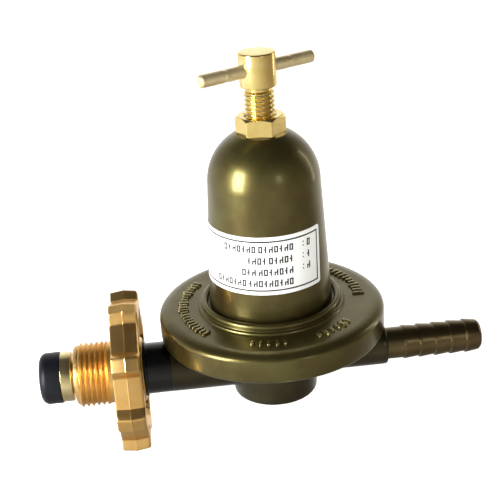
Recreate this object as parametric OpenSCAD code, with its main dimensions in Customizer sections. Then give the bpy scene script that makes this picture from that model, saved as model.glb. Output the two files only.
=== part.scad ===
// Adjustable high-pressure gas regulator with a hand-tightened bull-nose inlet,
// a spring-loaded diaphragm under a bell and a barbed hose outlet.
// Frame: origin at the middle of the inlet thread, +X towards the hose outlet, +Z up the bell.

/* [Main layout] */
// Gap between the cover's rim and the back of the handwheel
wheel_gap = 7.3; // [5:0.1:14]
// How far the inlet arm's end lies inside the cover's rim
inlet_arm_inset = 2.4; // [1:0.1:3]
// How far the outlet boss stands out past the cover's rim
outlet_stand_out = 1.2; // [0.5:0.1:8]
// Height of the body flange's underside above the gas passages
flange_lift = 13.2; // [13:0.1:17]

/* [Body casting] */
// Diameter of the round boss under the flange
boss_d = 30.1; // [29:0.1:34]
// Depth of the boss below the gas passages
boss_drop = 12; // [12:0.1:16]
// Thickness of the body flange
flange_t = 4; // [4:0.1:6]
// Diameter of the inlet arm
inlet_arm_d = 18; // [17:0.1:20]
// Diameter of the outlet boss
outlet_arm_d = 14.3; // [13.5:0.1:17]
// Thickness of the web that ties both arms to the flange
web_t = 8; // [5:0.5:12]
// Diameter of the high-pressure passage
inlet_passage_d = 5; // [3:0.1:5.6]
// Diameter of the low-pressure passage
outlet_passage_d = 5; // [3:0.1:5.6]

/* [Cover and bell] */
// Outer diameter of the cover's rim
cover_d = 78; // [76:0.5:96]
// Wall of the rim around the body flange
rim_wall = 1.6; // [1.2:0.1:2.5]
// Thickness of the lip rolled under the body flange
lip_t = 1.3; // [1:0.1:2]
// Width of that lip
lip_w = 2.4; // [1.5:0.1:3]
// Rounding of the cover's top edge
rim_round = 2.5; // [1:0.1:2.6]
// Height of the cover's roof above the diaphragm
roof_h = 3.7; // [3.5:0.1:5]
// Diameter of the raised collar round the bell
collar_d = 50.3; // [49:0.1:56]
// Height of the collar's bead above the roof
collar_h = 2.4; // [1.8:0.1:3]
// Diameter of the bell at its foot
bell_foot_d = 42; // [40:0.1:43]
// Diameter of the bell where the dome starts
bell_neck_d = 37.6; // [36:0.1:42]
// Height of the bell's tapered wall
bell_h = 41.4; // [38:0.1:52]
// Radius of the dome
dome_r = 18.4; // [18:0.1:18.8]
// Height of the dome up to the flat under the hex
dome_h = 16.4; // [16:0.1:16.6]
// Wall of the bell
bell_wall = 2.4; // [1.8:0.1:2.6]
// Diameter of the vent hole at the back of the bell
vent_d = 2; // [1:0.1:3]

/* [Adjuster] */
// Hex size of the bush, across its flats
hex_af = 14.5; // [14:0.1:17]
// Height of the hex
hex_h = 6; // [4:0.1:8]
// Turn of the hex after it is tightened, in degrees
hex_turn = -9; // [-30:1:30]
// Diameter of the bush's threaded spigot
bush_spigot_d = 13.5; // [13.2:0.1:14]
// Length of the bush's threaded spigot
bush_spigot_l = 8; // [6:0.1:10]
// Diameter of the adjusting screw's thread
screw_d = 10; // [9:0.1:10.4]
// Pitch of the adjusting screw's thread
screw_pitch = 1.5; // [1:0.25:2]
// Length of the adjusting screw below its head
screw_l = 28; // [26:0.1:30]
// Length of the plain neck under the head
screw_neck_l = 1.8; // [1:0.1:3]
// Gap between the hex and the head at rest
screw_gap = 9.4; // [8:0.1:11]
// Diameter of the screw's head
head_d = 12; // [11:0.1:14]
// Height of the screw's head
head_h = 11.1; // [9:0.1:14]
// Diameter of the tee bar
bar_d = 4.2; // [3:0.1:4.5]
// Length of the tee bar
bar_l = 43.4; // [36:0.1:52]
// Turn of the tee bar at rest, in degrees
bar_turn = 28.5; // [-90:0.5:90]
// Distance of each staking mark from the middle of the bar
bar_stake = 12.3; // [12:0.1:15]
// Diameter of the thrust ball
ball_d = 6; // [5:0.1:7]

/* [Spring and diaphragm] */
// Wire diameter of the main spring
spring_wire_d = 2.8; // [2:0.1:3.2]
// Mean diameter of the main spring
spring_mean_d = 22; // [20:0.1:24]
// Number of turns of the main spring
spring_turns = 8; // [5:1:10]
// Thickness of the spring button
button_t = 2.5; // [2:0.1:4]
// Width of the spring button's rim outside the spring
button_rim = 0.6; // [0.2:0.1:1.5]
// Thickness of the diaphragm
diaphragm_t = 1; // [0.8:0.1:1.2]
// Diameter of the free area of the diaphragm
diaphragm_free_d = 61; // [58:0.5:64]
// Rise of the diaphragm's ripple
ripple_h = 1.6; // [0.8:0.1:1.6]
// Diameter of the plate on the diaphragm
plate_d = 48; // [46:0.5:50]
// Thickness of the plate on the diaphragm
plate_t = 1.5; // [1:0.1:1.8]
// Diameter of the washer under the diaphragm
washer_d = 24; // [16:0.5:30]
// Thickness of the washer under the diaphragm
washer_t = 1.2; // [0.8:0.1:1.6]
// Diameter of the rivet through the diaphragm
rivet_d = 5; // [4:0.1:7]

/* [Valve] */
// Diameter of the valve chamber
chamber_d = 13; // [12.6:0.1:13.6]
// Diameter of the valve seat insert
seat_d = 10; // [9:0.1:11]
// Diameter of the gas orifice in the seat
orifice_d = 3.4; // [2.8:0.1:4]
// Diameter of the push pin
pin_d = 1.8; // [1.2:0.1:2]
// Diameter of the valve poppet
poppet_d = 8.8; // [8:0.1:10]
// Diameter of the poppet's guide stem
stem_d = 3.2; // [2.5:0.1:3.6]
// How far the valve opens
valve_lift = 1; // [0.5:0.1:1]
// Wire diameter of the poppet spring
poppet_wire_d = 0.6; // [0.4:0.1:0.7]
// Diameter of the bottom plug's thread
plug_d = 14.8; // [14.4:0.1:16]
// Diameter of the bottom plug's flange
plug_flange_d = 19; // [18:0.1:21]
// Thickness of the bottom plug's flange
plug_flange_t = 1.6; // [1.2:0.1:2]
// Thickness of the gasket over that flange
gasket_t = 0.6; // [0.4:0.1:0.8]

/* [Inlet] */
// Outer diameter of the inlet thread
inlet_thread_d = 22.48; // [21:0.01:24]
// Pitch of the inlet thread
inlet_thread_pitch = 1.814; // [1.5:0.01:2.2]
// Number of inlet thread crests
inlet_thread_turns = 6; // [4:1:7]
// Depth of the inlet thread
inlet_thread_depth = 1.05; // [0.6:0.05:1.2]
// Length of the neck between the thread and the wheel
neck_l = 2.7; // [2:0.1:4]
// Outer diameter of the handwheel
wheel_d = 57; // [52:0.5:70]
// Width of the handwheel
wheel_w = 9.8; // [8:0.1:11]
// Number of lobes on the handwheel
wheel_lobes = 8; // [6:1:10]
// Radius of the hollow between two lobes
valley_r = 12.6; // [10:0.1:14]
// Depth of the hollow between two lobes
valley_depth = 4; // [2:0.1:5]
// Turn of the handwheel at rest, in degrees
wheel_turn = 11; // [-22:1:22]
// Depth of the dish in the back of the handwheel
dish_depth = 4.5; // [1:0.1:5]
// Diameter of the nipple's stem
nipple_d = 12.4; // [11.4:0.1:13]
// Length of the nipple's threaded end inside the body
nipple_tail_l = 13; // [10:0.1:15]
// Diameter of the soft nose
nose_d = 18; // [16:0.1:18.4]
// Diameter of the nipple's head behind the soft nose
nipple_head_d = 17.4; // [16:0.1:17.6]
// Length of the nipple's head
nipple_head_l = 4; // [3:0.1:5]
// Gap between the nipple's head and the thread's end, which is the handwheel's play
nose_gap = 1; // [0.5:0.1:1.5]
// Length of the soft nose
nose_l = 7.2; // [7:0.1:11]
// Wall of the soft nose around the nipple's spigot
nose_wall = 3.6; // [3:0.1:4]
// Length of the spigot that holds the soft nose
spigot_l = 5; // [4:0.1:7]
// Radius of the soft nose's rounded end
nose_round = 2.6; // [2:0.1:4.5]
// Diameter of the gas passage in the nipple
nipple_bore_d = 5; // [4:0.1:6]
// Diameter of the black sleeve
sleeve_d = 18; // [16:0.1:19]
// Length of the black sleeve's flange
sleeve_flange_l = 1; // [0.6:0.1:1.5]

/* [Hose nozzle] */
// Diameter of the nozzle's plain shank
shank_d = 11.2; // [10:0.1:11.6]
// Distance from the outlet boss to the first barb
shank_l = 6.2; // [4:0.1:10]
// Diameter over the barbs
barb_d = 12; // [11.2:0.1:13]
// Diameter at the root of each barb
barb_root_d = 11; // [10:0.1:11]
// Distance from one barb to the next
barb_pitch = 5.6; // [4.5:0.1:8]
// Width of the round land at the crest of each barb
barb_land = 0.6; // [0.4:0.1:1]
// Number of barbs
barb_count = 5; // [3:1:7]
// Diameter of the nozzle's bore
nozzle_bore_d = 6.4; // [5:0.1:7]
// Diameter of the nozzle's end inside the body
nozzle_tail_d = 9.8; // [9:0.1:10]
// Length of the nozzle's end inside the body
nozzle_tail_l = 12; // [8:0.1:13]

/* [Rating label] */
// Height of the label
label_h = 20; // [12:0.5:28]
// Height of the label's lower edge above the bell's foot
label_lift = 8.9; // [4:0.1:12]
// Angle that the label wraps round the bell
label_wrap = 151; // [60:1:160]
// Angle of the label's right edge from the front
label_right = 51; // [20:1:80]
// Thickness of the label
label_t = 0.2; // [0.1:0.05:0.3]

/* [Clearances] */
// Clearance of a part that is screwed or pushed into another
fit_gap = 0.05; // [0.02:0.01:0.1]
// Clearance of a part that turns or slides in another
run_gap = 0.06; // [0.03:0.01:0.1]
// Free length left at the bottom of a threaded hole
end_gap = 1; // [0.5:0.1:2]
// Gap between two surfaces that rest against each other on different bodies
rest_gap = 0.02; // [0.01:0.01:0.05]

/* [Hidden] */
$fn = 96;
small = 0.01;       // how far one piece of a solid runs into the next
full = 400;         // longer than the whole part

// Heights, from the gas passages up
flange_top = flange_lift + flange_t;
clamp_top = flange_top + diaphragm_t;
roof_top = clamp_top + roof_h;
roof_t = 1.5;
bell_foot = roof_top + collar_h + 1.3;
dome_foot = bell_foot + bell_h;
hex_foot = dome_foot + dome_h;
hex_top = hex_foot + hex_h;
head_foot = hex_top + screw_gap;
screw_end = head_foot - screw_l;
bar_z = head_foot + head_h / 2;
ball_z = screw_end - rest_gap - ball_d / 2;
button_d = spring_mean_d + spring_wire_d + 2 * button_rim;
button_top = ball_z;
button_foot = button_top - button_t;
plate_top = clamp_top + plate_t;

// Radii of the cover
rim_inner_r = cover_d / 2 - rim_wall;
flange_r = rim_inner_r - fit_gap;
dome_centre_r = bell_neck_d / 2 - dome_r;
bush_hole_r = bush_spigot_d / 2 + fit_gap;
free_r = diaphragm_free_d / 2;

// Heights and radii of the valve
seat_z = 2.9;
seat_flange_t = 1.5;
seat_flange_d = 14;
seat_flange_z = 9;
lip_h = 0.5;
seal_top = seat_z - lip_h;
seal_t = 1.5;
seal_d = 7;
well_d = 16;
basin_z = flange_top - 2.8;
plug_face = -boss_drop + 0.4;
plug_shoulder = plug_face + plug_flange_t + gasket_t;
plug_top = plug_shoulder + 3.6;
poppet_foot = -3;
guide_depth = 1.6;
spring_pocket = 1;
pocket_foot = plug_top - spring_pocket;
stem_foot = pocket_foot - guide_depth;
washer_foot = flange_top - washer_t;
rivet_foot = washer_foot - 1.2;

// Places along the gas passages, from the bell's axis
inlet_arm_reach = cover_d / 2 - inlet_arm_inset;
outlet_reach = cover_d / 2 + outlet_stand_out;

// Places along the inlet, from the middle of the inlet thread
thread_half = inlet_thread_turns * inlet_thread_pitch / 2;
thread_front = -thread_half - 0.6;
wheel_front = thread_half + neck_l;
wheel_back = wheel_front + wheel_w;
inlet_reach = wheel_back + wheel_gap + cover_d / 2;
nipple_head_back = thread_front - nose_gap;
nipple_head_front = nipple_head_back - nipple_head_l;
nose_front = nipple_head_front - nose_l;
spigot_front = nipple_head_front - spigot_l;
arm_face = inlet_reach - inlet_arm_reach;
nipple_end = arm_face + nipple_tail_l;

// Points of an arc in the plane of a profile
function arc(cx, cy, r, from, to, steps = 12) =
    [for (i = [0:steps]) let (a = from + (to - from) * i / steps) [cx + r * cos(a), cy + r * sin(a)]];

// Radius of the bell's wall at a height
function bell_r(z) = bell_foot_d / 2 + (bell_neck_d - bell_foot_d) / 2 * (z - bell_foot) / bell_h;

// Outline of a ridged rod from y0 up: crests with a narrow flat, at the true pitch
function ridges(r, depth, pitch, count, y0) = let (flat = pitch / 8, side = pitch / 2 - flat)
    [for (i = [0:count - 1]) let (y = y0 + i * pitch + flat / 2)
        each [[r - depth, y], [r, y + side], [r, y + side + flat], [r - depth, y + 2 * side + flat]]];

// Moves a piece that is drawn round the bell's axis to its place
module on_bell_axis() { translate([inlet_reach, 0, 0]) children(); }

// Lays a piece that is drawn up the Z axis along the X axis
module along_x() { rotate([0, 90, 0]) children(); }

// A bored disc or tube from z0 to z1
module ring(outer_r, inner_r, z0, z1) {
    difference() {
        translate([0, 0, z0]) cylinder(r = outer_r, h = z1 - z0);
        translate([0, 0, z0 - 1]) cylinder(r = inner_r, h = z1 - z0 + 2);
    }
}

// A round wire wound up the Z axis, with its first and last turns closed
module coil(mean_r, wire_r, z0, z1, turns, sides = 6, steps = 16) {
    count = turns * steps;
    rise = z1 - z0 - 2 * wire_r;
    // Height of the wire's centre: flat for most of the first and last turn
    function height(i) = let (t = i / steps, live = turns - 1.5)
        z0 + wire_r + rise * min(1, max(0, (t - 0.75) / live));
    points = [for (i = [0:count]) let (a = 360 * i / steps)
        for (j = [0:sides - 1]) let (b = 360 * j / sides, r = mean_r + wire_r * cos(b))
            [r * cos(a), r * sin(a), height(i) + wire_r * sin(b)]];
    faces = concat(
        [[for (j = [0:sides - 1]) j]],
        [for (i = [0:count - 1], j = [0:sides - 1]) let (k = (j + 1) % sides)
            each [[i * sides + j, (i + 1) * sides + k, i * sides + k],
                  [i * sides + j, (i + 1) * sides + j, (i + 1) * sides + k]]],
        [[for (j = [sides - 1:-1:0]) count * sides + j]]);
    polyhedron(points, faces);
}

module body_casting() {
    color("#5a532c") on_bell_axis() difference() {
        union() {
            translate([0, 0, flange_lift]) cylinder(r = flange_r, h = flange_t, $fn = 128);
            translate([0, 0, -boss_drop]) cylinder(d = boss_d, h = boss_drop + flange_lift + small);
            translate([-inlet_arm_reach, 0, 0]) along_x() cylinder(d = inlet_arm_d, h = inlet_arm_reach);
            along_x() cylinder(d = outlet_arm_d, h = outlet_reach);
            web();
        }
        basin();
        valve_hole();
        translate([-inlet_arm_reach, 0, 0]) along_x()
            cylinder(r = nipple_d / 2 + fit_gap, h = nipple_tail_l + end_gap);
        translate([-inlet_arm_reach, 0, 0]) along_x()
            cylinder(d = inlet_passage_d, h = inlet_arm_reach);
        translate([outlet_reach - nozzle_tail_l - end_gap, 0, 0]) along_x()
            cylinder(r = nozzle_tail_d / 2 + fit_gap, h = full);
        riser();
    }
}

// The web under the flange, cut back to clear the cover's rolled lip
module web() {
    web_reach = flange_r - lip_w - rim_wall;
    translate([-web_reach, -web_t / 2, 0]) cube([2 * web_reach, web_t, flange_lift + small]);
}

// The shallow basin under the diaphragm and the well around the seat
module basin() {
    translate([0, 0, basin_z]) cylinder(r = free_r - 1, h = full);
    translate([0, 0, seat_flange_z]) cylinder(d = well_d, h = full);
}

// The stepped hole from below: plug flange, plug thread, valve chamber and seat
module valve_hole() {
    translate([0, 0, -full]) cylinder(r = plug_flange_d / 2 + fit_gap, h = full + plug_shoulder);
    translate([0, 0, -full]) cylinder(r = plug_d / 2 + fit_gap, h = full + plug_top + 0.3);
    translate([0, 0, -boss_drop]) cylinder(d = chamber_d, h = boss_drop + seat_z);
    translate([0, 0, 0]) cylinder(r = seat_d / 2 + fit_gap, h = seat_flange_z + 1);
}

// The low-pressure way: up from the outlet bore into the basin
module riser() {
    riser_x = (chamber_d + outlet_passage_d) / 2 + 2;
    translate([riser_x, 0, 0]) cylinder(d = outlet_passage_d, h = full);
    translate([riser_x, 0, 0]) along_x() cylinder(d = outlet_passage_d, h = outlet_reach);
    translate([riser_x, 0, 0]) sphere(d = outlet_passage_d);
}

module bonnet_cover() {
    r = cover_d / 2;
    lip_foot = flange_lift - lip_t;
    bead_r = collar_h / 2;
    bead_x = collar_d / 2 - 0.9 - bead_r;
    inner_foot_r = bell_foot_d / 2 - bell_wall;
    inner_neck_r = bell_neck_d / 2 - bell_wall;
    ceiling = roof_top - roof_t;
    outside = concat(
        [[rim_inner_r - lip_w, flange_lift], [rim_inner_r - lip_w, lip_foot]],
        arc(r - 1, lip_foot + 1, 1, -90, 0, 6),
        arc(r - rim_round, roof_top - rim_round, rim_round, 0, 90),
        [[collar_d / 2, roof_top], [collar_d / 2, roof_top + 0.7], [bead_x + bead_r, roof_top + 0.7]],
        arc(bead_x, roof_top + 0.7 + bead_r, bead_r, 0, 180),
        [[bell_foot_d / 2, roof_top + 0.7 + bead_r]],
        arc(dome_centre_r, dome_foot, dome_r, 0, asin(dome_h / dome_r), 16));
    inside = concat(
        [[bush_hole_r, hex_foot], [bush_hole_r, dome_foot + dome_h - bell_wall - 1]],
        arc(dome_centre_r, dome_foot, dome_r - bell_wall, 58, 0, 14),
        [[inner_foot_r, bell_foot], [inner_foot_r, ceiling], [free_r, ceiling], [free_r, clamp_top],
         [rim_inner_r, clamp_top], [rim_inner_r, flange_lift]]);
    color("#6b6432") on_bell_axis() difference() {
        rotate_extrude($fn = 128) polygon(concat(outside, inside));
        translate([0, 0, dome_foot - 4]) rotate([-90, 0, 0]) cylinder(d = vent_d, h = bell_foot_d, $fn = 32);
    }
}

module bonnet_bush() {
    color("#c9a443") on_bell_axis() difference() {
        union() {
            rotate([0, 0, hex_turn]) intersection() {
                translate([0, 0, hex_foot]) cylinder(d = hex_af / cos(30), h = hex_h, $fn = 6);
                translate([0, 0, hex_foot]) rotate_extrude() polygon([
                    [0, 0], [hex_af / 2 + 0.6, 0], [hex_af / 2 + 1.4, 0.5],
                    [hex_af / 2 + 1.4, hex_h - 0.9], [hex_af / 2 - 0.2, hex_h], [0, hex_h]]);
            }
            translate([0, 0, hex_foot - bush_spigot_l])
                cylinder(d = bush_spigot_d, h = bush_spigot_l + small);
        }
        translate([0, 0, hex_foot - full / 2]) cylinder(r = screw_d / 2 + run_gap, h = full);
    }
}

module adjusting_screw() {
    r = screw_d / 2;
    depth = 0.6 * screw_pitch;
    count = floor((screw_l - screw_neck_l - 2) / screw_pitch);
    thread_foot = head_foot - screw_neck_l - count * screw_pitch;
    color("#c9a443") on_bell_axis() difference() {
        rotate_extrude() polygon(concat(
            [[0, screw_end], [r - depth - 0.4, screw_end], [r - depth, screw_end + 0.4]],
            ridges(r, depth, screw_pitch, count, thread_foot),
            [[r - depth, head_foot], [head_d / 2 - 0.4, head_foot], [head_d / 2, head_foot + 0.4],
             [head_d / 2, head_foot + head_h - 0.5], [head_d / 2 - 0.5, head_foot + head_h],
             [0, head_foot + head_h]]));
        translate([0, 0, bar_z]) rotate([0, 0, bar_turn]) translate([-head_d, 0, 0]) along_x()
            cylinder(r = bar_d / 2 + run_gap, h = 2 * head_d, $fn = 48);
    }
}

// A round bar with chamfered ends and two staked bumps that keep it in the head
module tee_bar() {
    r = bar_d / 2;
    color("#cfae55") on_bell_axis() translate([0, 0, bar_z]) rotate([0, 0, bar_turn]) {
        along_x() rotate_extrude($fn = 48) polygon([
            [0, -bar_l / 2], [r - 0.5, -bar_l / 2], [r, -bar_l / 2 + 0.5],
            [r, bar_l / 2 - 0.5], [r - 0.5, bar_l / 2], [0, bar_l / 2]]);
        for (side = [-1, 1]) translate([side * bar_stake, 0, 0])
            cube([1.2, bar_d + 0.5, 1], center = true);
    }
}

module thrust_ball() {
    color("#b8bcc0") on_bell_axis() translate([0, 0, ball_z]) sphere(d = ball_d, $fn = 48);
}

module spring_button() {
    hub_foot = button_foot - 2;
    color("#a9adb0") on_bell_axis() difference() {
        union() {
            translate([0, 0, button_foot]) cylinder(d = button_d, h = button_t);
            translate([0, 0, hub_foot]) cylinder(r = spring_inner_r() - 0.3, h = 2 + small);
        }
        translate([0, 0, ball_z - ball_d / 2 - rest_gap]) cylinder(r = ball_d / 2 + rest_gap, h = ball_d);
    }
}

function spring_inner_r() = (spring_mean_d - spring_wire_d) / 2;

module main_spring() {
    foot = plate_top + rest_gap;
    top = button_foot - rest_gap;
    color("#9aa0a6") on_bell_axis()
        coil(spring_mean_d / 2, spring_wire_d / 2, foot, top, spring_turns);
}

module diaphragm_plate() {
    color("#a9adb0") on_bell_axis() difference() {
        union() {
            translate([0, 0, clamp_top]) cylinder(d = plate_d, h = plate_t);
            translate([0, 0, clamp_top]) cylinder(r = spring_inner_r() - 0.3, h = plate_t + 2);
        }
        translate([0, 0, clamp_top - 1]) cylinder(r = rivet_d / 2 + fit_gap, h = plate_t + 4);
    }
}

// A flat rubber disc with one ripple between the plate and the clamped rim
module diaphragm() {
    ripple_in = plate_d / 2 + 0.6;
    ripple_w = free_r - ripple_in - 0.4;
    // Height of the ripple at a share of its width
    function ripple(u) = ripple_h * (1 - cos(360 * u)) / 2;
    steps = 12;
    top = [for (i = [0:steps]) [ripple_in + ripple_w * i / steps, clamp_top + ripple(i / steps)]];
    foot = [for (i = [steps:-1:0]) [ripple_in + ripple_w * i / steps, flange_top + ripple(i / steps)]];
    hole_r = rivet_d / 2 + fit_gap;
    color("#26262a") on_bell_axis() rotate_extrude($fn = 128) polygon(concat(
        [[hole_r, flange_top], [hole_r, clamp_top]], top,
        [[rim_inner_r - fit_gap, clamp_top], [rim_inner_r - fit_gap, flange_top]], foot));
}

module diaphragm_washer() {
    color("#a9adb0") on_bell_axis()
        ring(washer_d / 2, rivet_d / 2 + fit_gap, washer_foot, flange_top);
}

// The rivet that clamps plate, diaphragm and washer; its foot pushes the pin
module diaphragm_rivet() {
    plate_face = plate_top + 2;
    color("#c9a443") on_bell_axis() {
        translate([0, 0, rivet_foot]) cylinder(d = rivet_d, h = plate_face - rivet_foot + small);
        translate([0, 0, rivet_foot]) cylinder(d = rivet_d + 3, h = washer_foot - rivet_foot);
        translate([0, 0, plate_face]) cylinder(d = rivet_d + 3, h = 1.2);
    }
}

module push_pin() {
    foot = seal_top - seal_t;
    color("#c2c6ca") on_bell_axis()
        translate([0, 0, foot]) cylinder(d = pin_d, h = rivet_foot - foot, $fn = 32);
}

module valve_seat() {
    lip_r = orifice_d / 2 + 0.9;
    color("#d0ac4c") on_bell_axis() difference() {
        union() {
            translate([0, 0, seat_z]) cylinder(d = seat_d, h = seat_flange_z - seat_z + small);
            translate([0, 0, seat_flange_z]) cylinder(d = seat_flange_d, h = seat_flange_t);
            translate([0, 0, seal_top]) cylinder(r1 = lip_r - 0.4, r2 = lip_r, h = lip_h + small);
        }
        translate([0, 0, -full / 2]) cylinder(d = orifice_d, h = full, $fn = 48);
        translate([0, 0, seat_flange_z - 3]) cylinder(d = orifice_d + 2, h = full, $fn = 48);
    }
}

module valve_poppet() {
    cup_top = seal_top - 0.3;
    seal_foot = seal_top - seal_t;
    color("#c9a443") on_bell_axis() difference() {
        union() {
            translate([0, 0, poppet_foot]) cylinder(d = poppet_d, h = cup_top - poppet_foot);
            translate([0, 0, stem_foot])
                cylinder(d = stem_d, h = poppet_foot - stem_foot + small, $fn = 48);
        }
        translate([0, 0, seal_foot]) cylinder(r = seal_d / 2 + fit_gap, h = full, $fn = 64);
    }
}

module poppet_seal() {
    color("#1f1f22") on_bell_axis()
        ring(seal_d / 2, pin_d / 2 + fit_gap, seal_top - seal_t, seal_top - rest_gap);
}

module poppet_spring() {
    mean_r = stem_d / 2 + 1.1;
    color("#b8bcc0") on_bell_axis()
        coil(mean_r, poppet_wire_d / 2, pocket_foot + rest_gap, poppet_foot - rest_gap, 4);
}

module bottom_plug() {
    pocket_r = stem_d / 2 + 2;
    guide_foot = stem_foot - valve_lift - 0.4;
    slot_w = 2;
    slot_depth = 0.8;
    color("#c9a443") on_bell_axis() difference() {
        union() {
            translate([0, 0, plug_face]) cylinder(d = plug_flange_d, h = plug_flange_t);
            translate([0, 0, plug_face]) cylinder(d = plug_d, h = plug_top - plug_face);
        }
        translate([0, 0, pocket_foot]) cylinder(r = pocket_r, h = full);
        translate([0, 0, guide_foot]) cylinder(r = stem_d / 2 + run_gap, h = full, $fn = 48);
        translate([-full / 2, -slot_w / 2, plug_face - 1]) cube([full, slot_w, 1 + slot_depth]);
    }
}

module plug_gasket() {
    color("#7d3b2a") on_bell_axis()
        ring(plug_flange_d / 2 - 0.3, plug_d / 2 + fit_gap, plug_shoulder - gasket_t, plug_shoulder);
}

// Outline of the barbed spigot that the soft nose is pushed on, widened by a gap
function spigot(gap) = let (r = nose_d / 2 - nose_wall + gap, barb = 0.6)
    [[r, spigot_front], [r + barb, spigot_front + 1], [r, spigot_front + 2], [r, nipple_head_front]];

module inlet_nipple() {
    r = nipple_head_d / 2;
    stem_r = nipple_d / 2;
    edge = 0.3;
    color("#d8c48a") along_x() difference() {
        rotate_extrude() polygon(concat([[0, spigot_front]], spigot(0), [
            [r - edge, nipple_head_front], [r, nipple_head_front + edge],
            [r, nipple_head_back - edge], [r - edge, nipple_head_back],
            [stem_r, nipple_head_back], [stem_r, nipple_end - 0.5],
            [stem_r - 0.5, nipple_end], [0, nipple_end]]));
        translate([0, 0, nose_front]) cylinder(d = nipple_bore_d, h = full, $fn = 48);
    }
}

module nose_seal() {
    port_r = nipple_bore_d / 2 + 0.4;
    color("#1b1c22") along_x() rotate_extrude() polygon(concat(
        [[port_r, nose_front]],
        arc(nose_d / 2 - nose_round, nose_front + nose_round, nose_round, -90, 0),
        [[nose_d / 2, nipple_head_front]],
        [for (i = [3:-1:0]) spigot(fit_gap)[i]],
        [[port_r, spigot_front]]));
}

// A small mesh cup pushed into the front of the nipple's passage
module inlet_filter() {
    r = nipple_bore_d / 2 - fit_gap;
    wall = 0.5;
    length = 7;
    color("#b9a46a") along_x() translate([0, 0, spigot_front]) difference() {
        cylinder(r = r, h = length, $fn = 48);
        translate([0, 0, -1]) cylinder(r = r - wall, h = length + 1 - wall, $fn = 48);
    }
}

module handwheel() {
    r = inlet_thread_d / 2;
    root_r = r - inlet_thread_depth;
    color("#c08a3c") along_x() difference() {
        union() {
            rotate_extrude() polygon(concat(
                [[0, thread_front], [root_r - 0.5, thread_front], [root_r, thread_front + 0.5]],
                ridges(r, inlet_thread_depth, inlet_thread_pitch, inlet_thread_turns, -thread_half),
                [[r - 0.4, thread_half], [r - 0.4, wheel_front + 1], [0, wheel_front + 1]]));
            rotate([0, 0, wheel_turn]) lobed_disc();
        }
        translate([0, 0, -full / 2]) cylinder(r = nipple_d / 2 + run_gap, h = full);
        // The dish in the back face, around a flat hub
        translate([0, 0, wheel_back - dish_depth]) difference() {
            cylinder(r1 = wheel_d / 2 - 12, r2 = wheel_d / 2 - 8, h = dish_depth + 1);
            translate([0, 0, -1])
                cylinder(r1 = sleeve_d / 2 + 3.5, r2 = sleeve_d / 2 + 1.5, h = dish_depth + 1);
        }
    }
}

module lobed_disc() {
    difference() {
        translate([0, 0, wheel_front]) cylinder(d = wheel_d, h = wheel_w, $fn = 128);
        for (i = [0:wheel_lobes - 1]) rotate([0, 0, 360 / wheel_lobes * (i + 0.5)])
            translate([wheel_d / 2 - valley_depth + valley_r, 0, wheel_front - 1])
                cylinder(r = valley_r, h = wheel_w + 2);
    }
}

module thrust_sleeve() {
    flange_front = wheel_back + rest_gap;
    color("#1d2026") along_x() {
        ring(sleeve_d / 2, nipple_d / 2 + fit_gap, flange_front, arm_face);
        ring(sleeve_d / 2 + 0.8, nipple_d / 2 + fit_gap, flange_front, flange_front + sleeve_flange_l);
    }
}

module hose_nozzle() {
    first = shank_l;
    tip = first + barb_count * barb_pitch;
    barbs = [for (i = [0:barb_count - 1]) let (y = first + i * barb_pitch)
        each [[barb_d / 2, y], [barb_d / 2, y + barb_land], [barb_root_d / 2, y + barb_pitch - 1]]];
    color("#6a5c34") translate([inlet_reach + outlet_reach, 0, 0]) along_x() difference() {
        rotate_extrude() polygon(concat(
            [[0, -nozzle_tail_l], [nozzle_tail_d / 2, -nozzle_tail_l], [nozzle_tail_d / 2, 0],
             [shank_d / 2, 0], [shank_d / 2, first]],
            barbs, [[barb_root_d / 2 - 0.8, tip], [0, tip]]));
        translate([0, 0, -full / 2]) cylinder(d = nozzle_bore_d, h = full, $fn = 64);
    }
}

module rating_label() {
    z0 = bell_foot + label_lift;
    z1 = z0 + label_h;
    gap = rest_gap;
    color("#ecebe4") on_bell_axis() rotate([0, 0, label_right - 90 - label_wrap])
        rotate_extrude(angle = label_wrap, $fn = 128) polygon([
            [bell_r(z0) + gap, z0], [bell_r(z0) + gap + label_t, z0],
            [bell_r(z1) + gap + label_t, z1], [bell_r(z1) + gap, z1]]);
}

body_casting();
bonnet_cover();
bonnet_bush();
adjusting_screw();
tee_bar();
thrust_ball();
spring_button();
main_spring();
diaphragm_plate();
diaphragm();
diaphragm_washer();
diaphragm_rivet();
push_pin();
valve_seat();
valve_poppet();
poppet_seal();
poppet_spring();
bottom_plug();
plug_gasket();
inlet_nipple();
nose_seal();
inlet_filter();
handwheel();
thrust_sleeve();
hose_nozzle();
rating_label();
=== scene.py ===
# %% [markdown]
# # A gas regulator, made piece by piece
# This lesson dresses a finished mechanical model of a high-pressure gas regulator. The real one has
# a die-cast body, a painted bell over a diaphragm, a brass screw with a tee bar, a forged handwheel
# and a barbed hose nozzle. The CAD model holds the sizes and the joints. Blender only adds looks,
# so the first cell loads that model as a fixed frame and keeps its box, which sets the floor's
# height.

# %% Load the fixed frame
import math

import bmesh
import bpy
import numpy as np
from mathutils import Matrix, Vector


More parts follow.
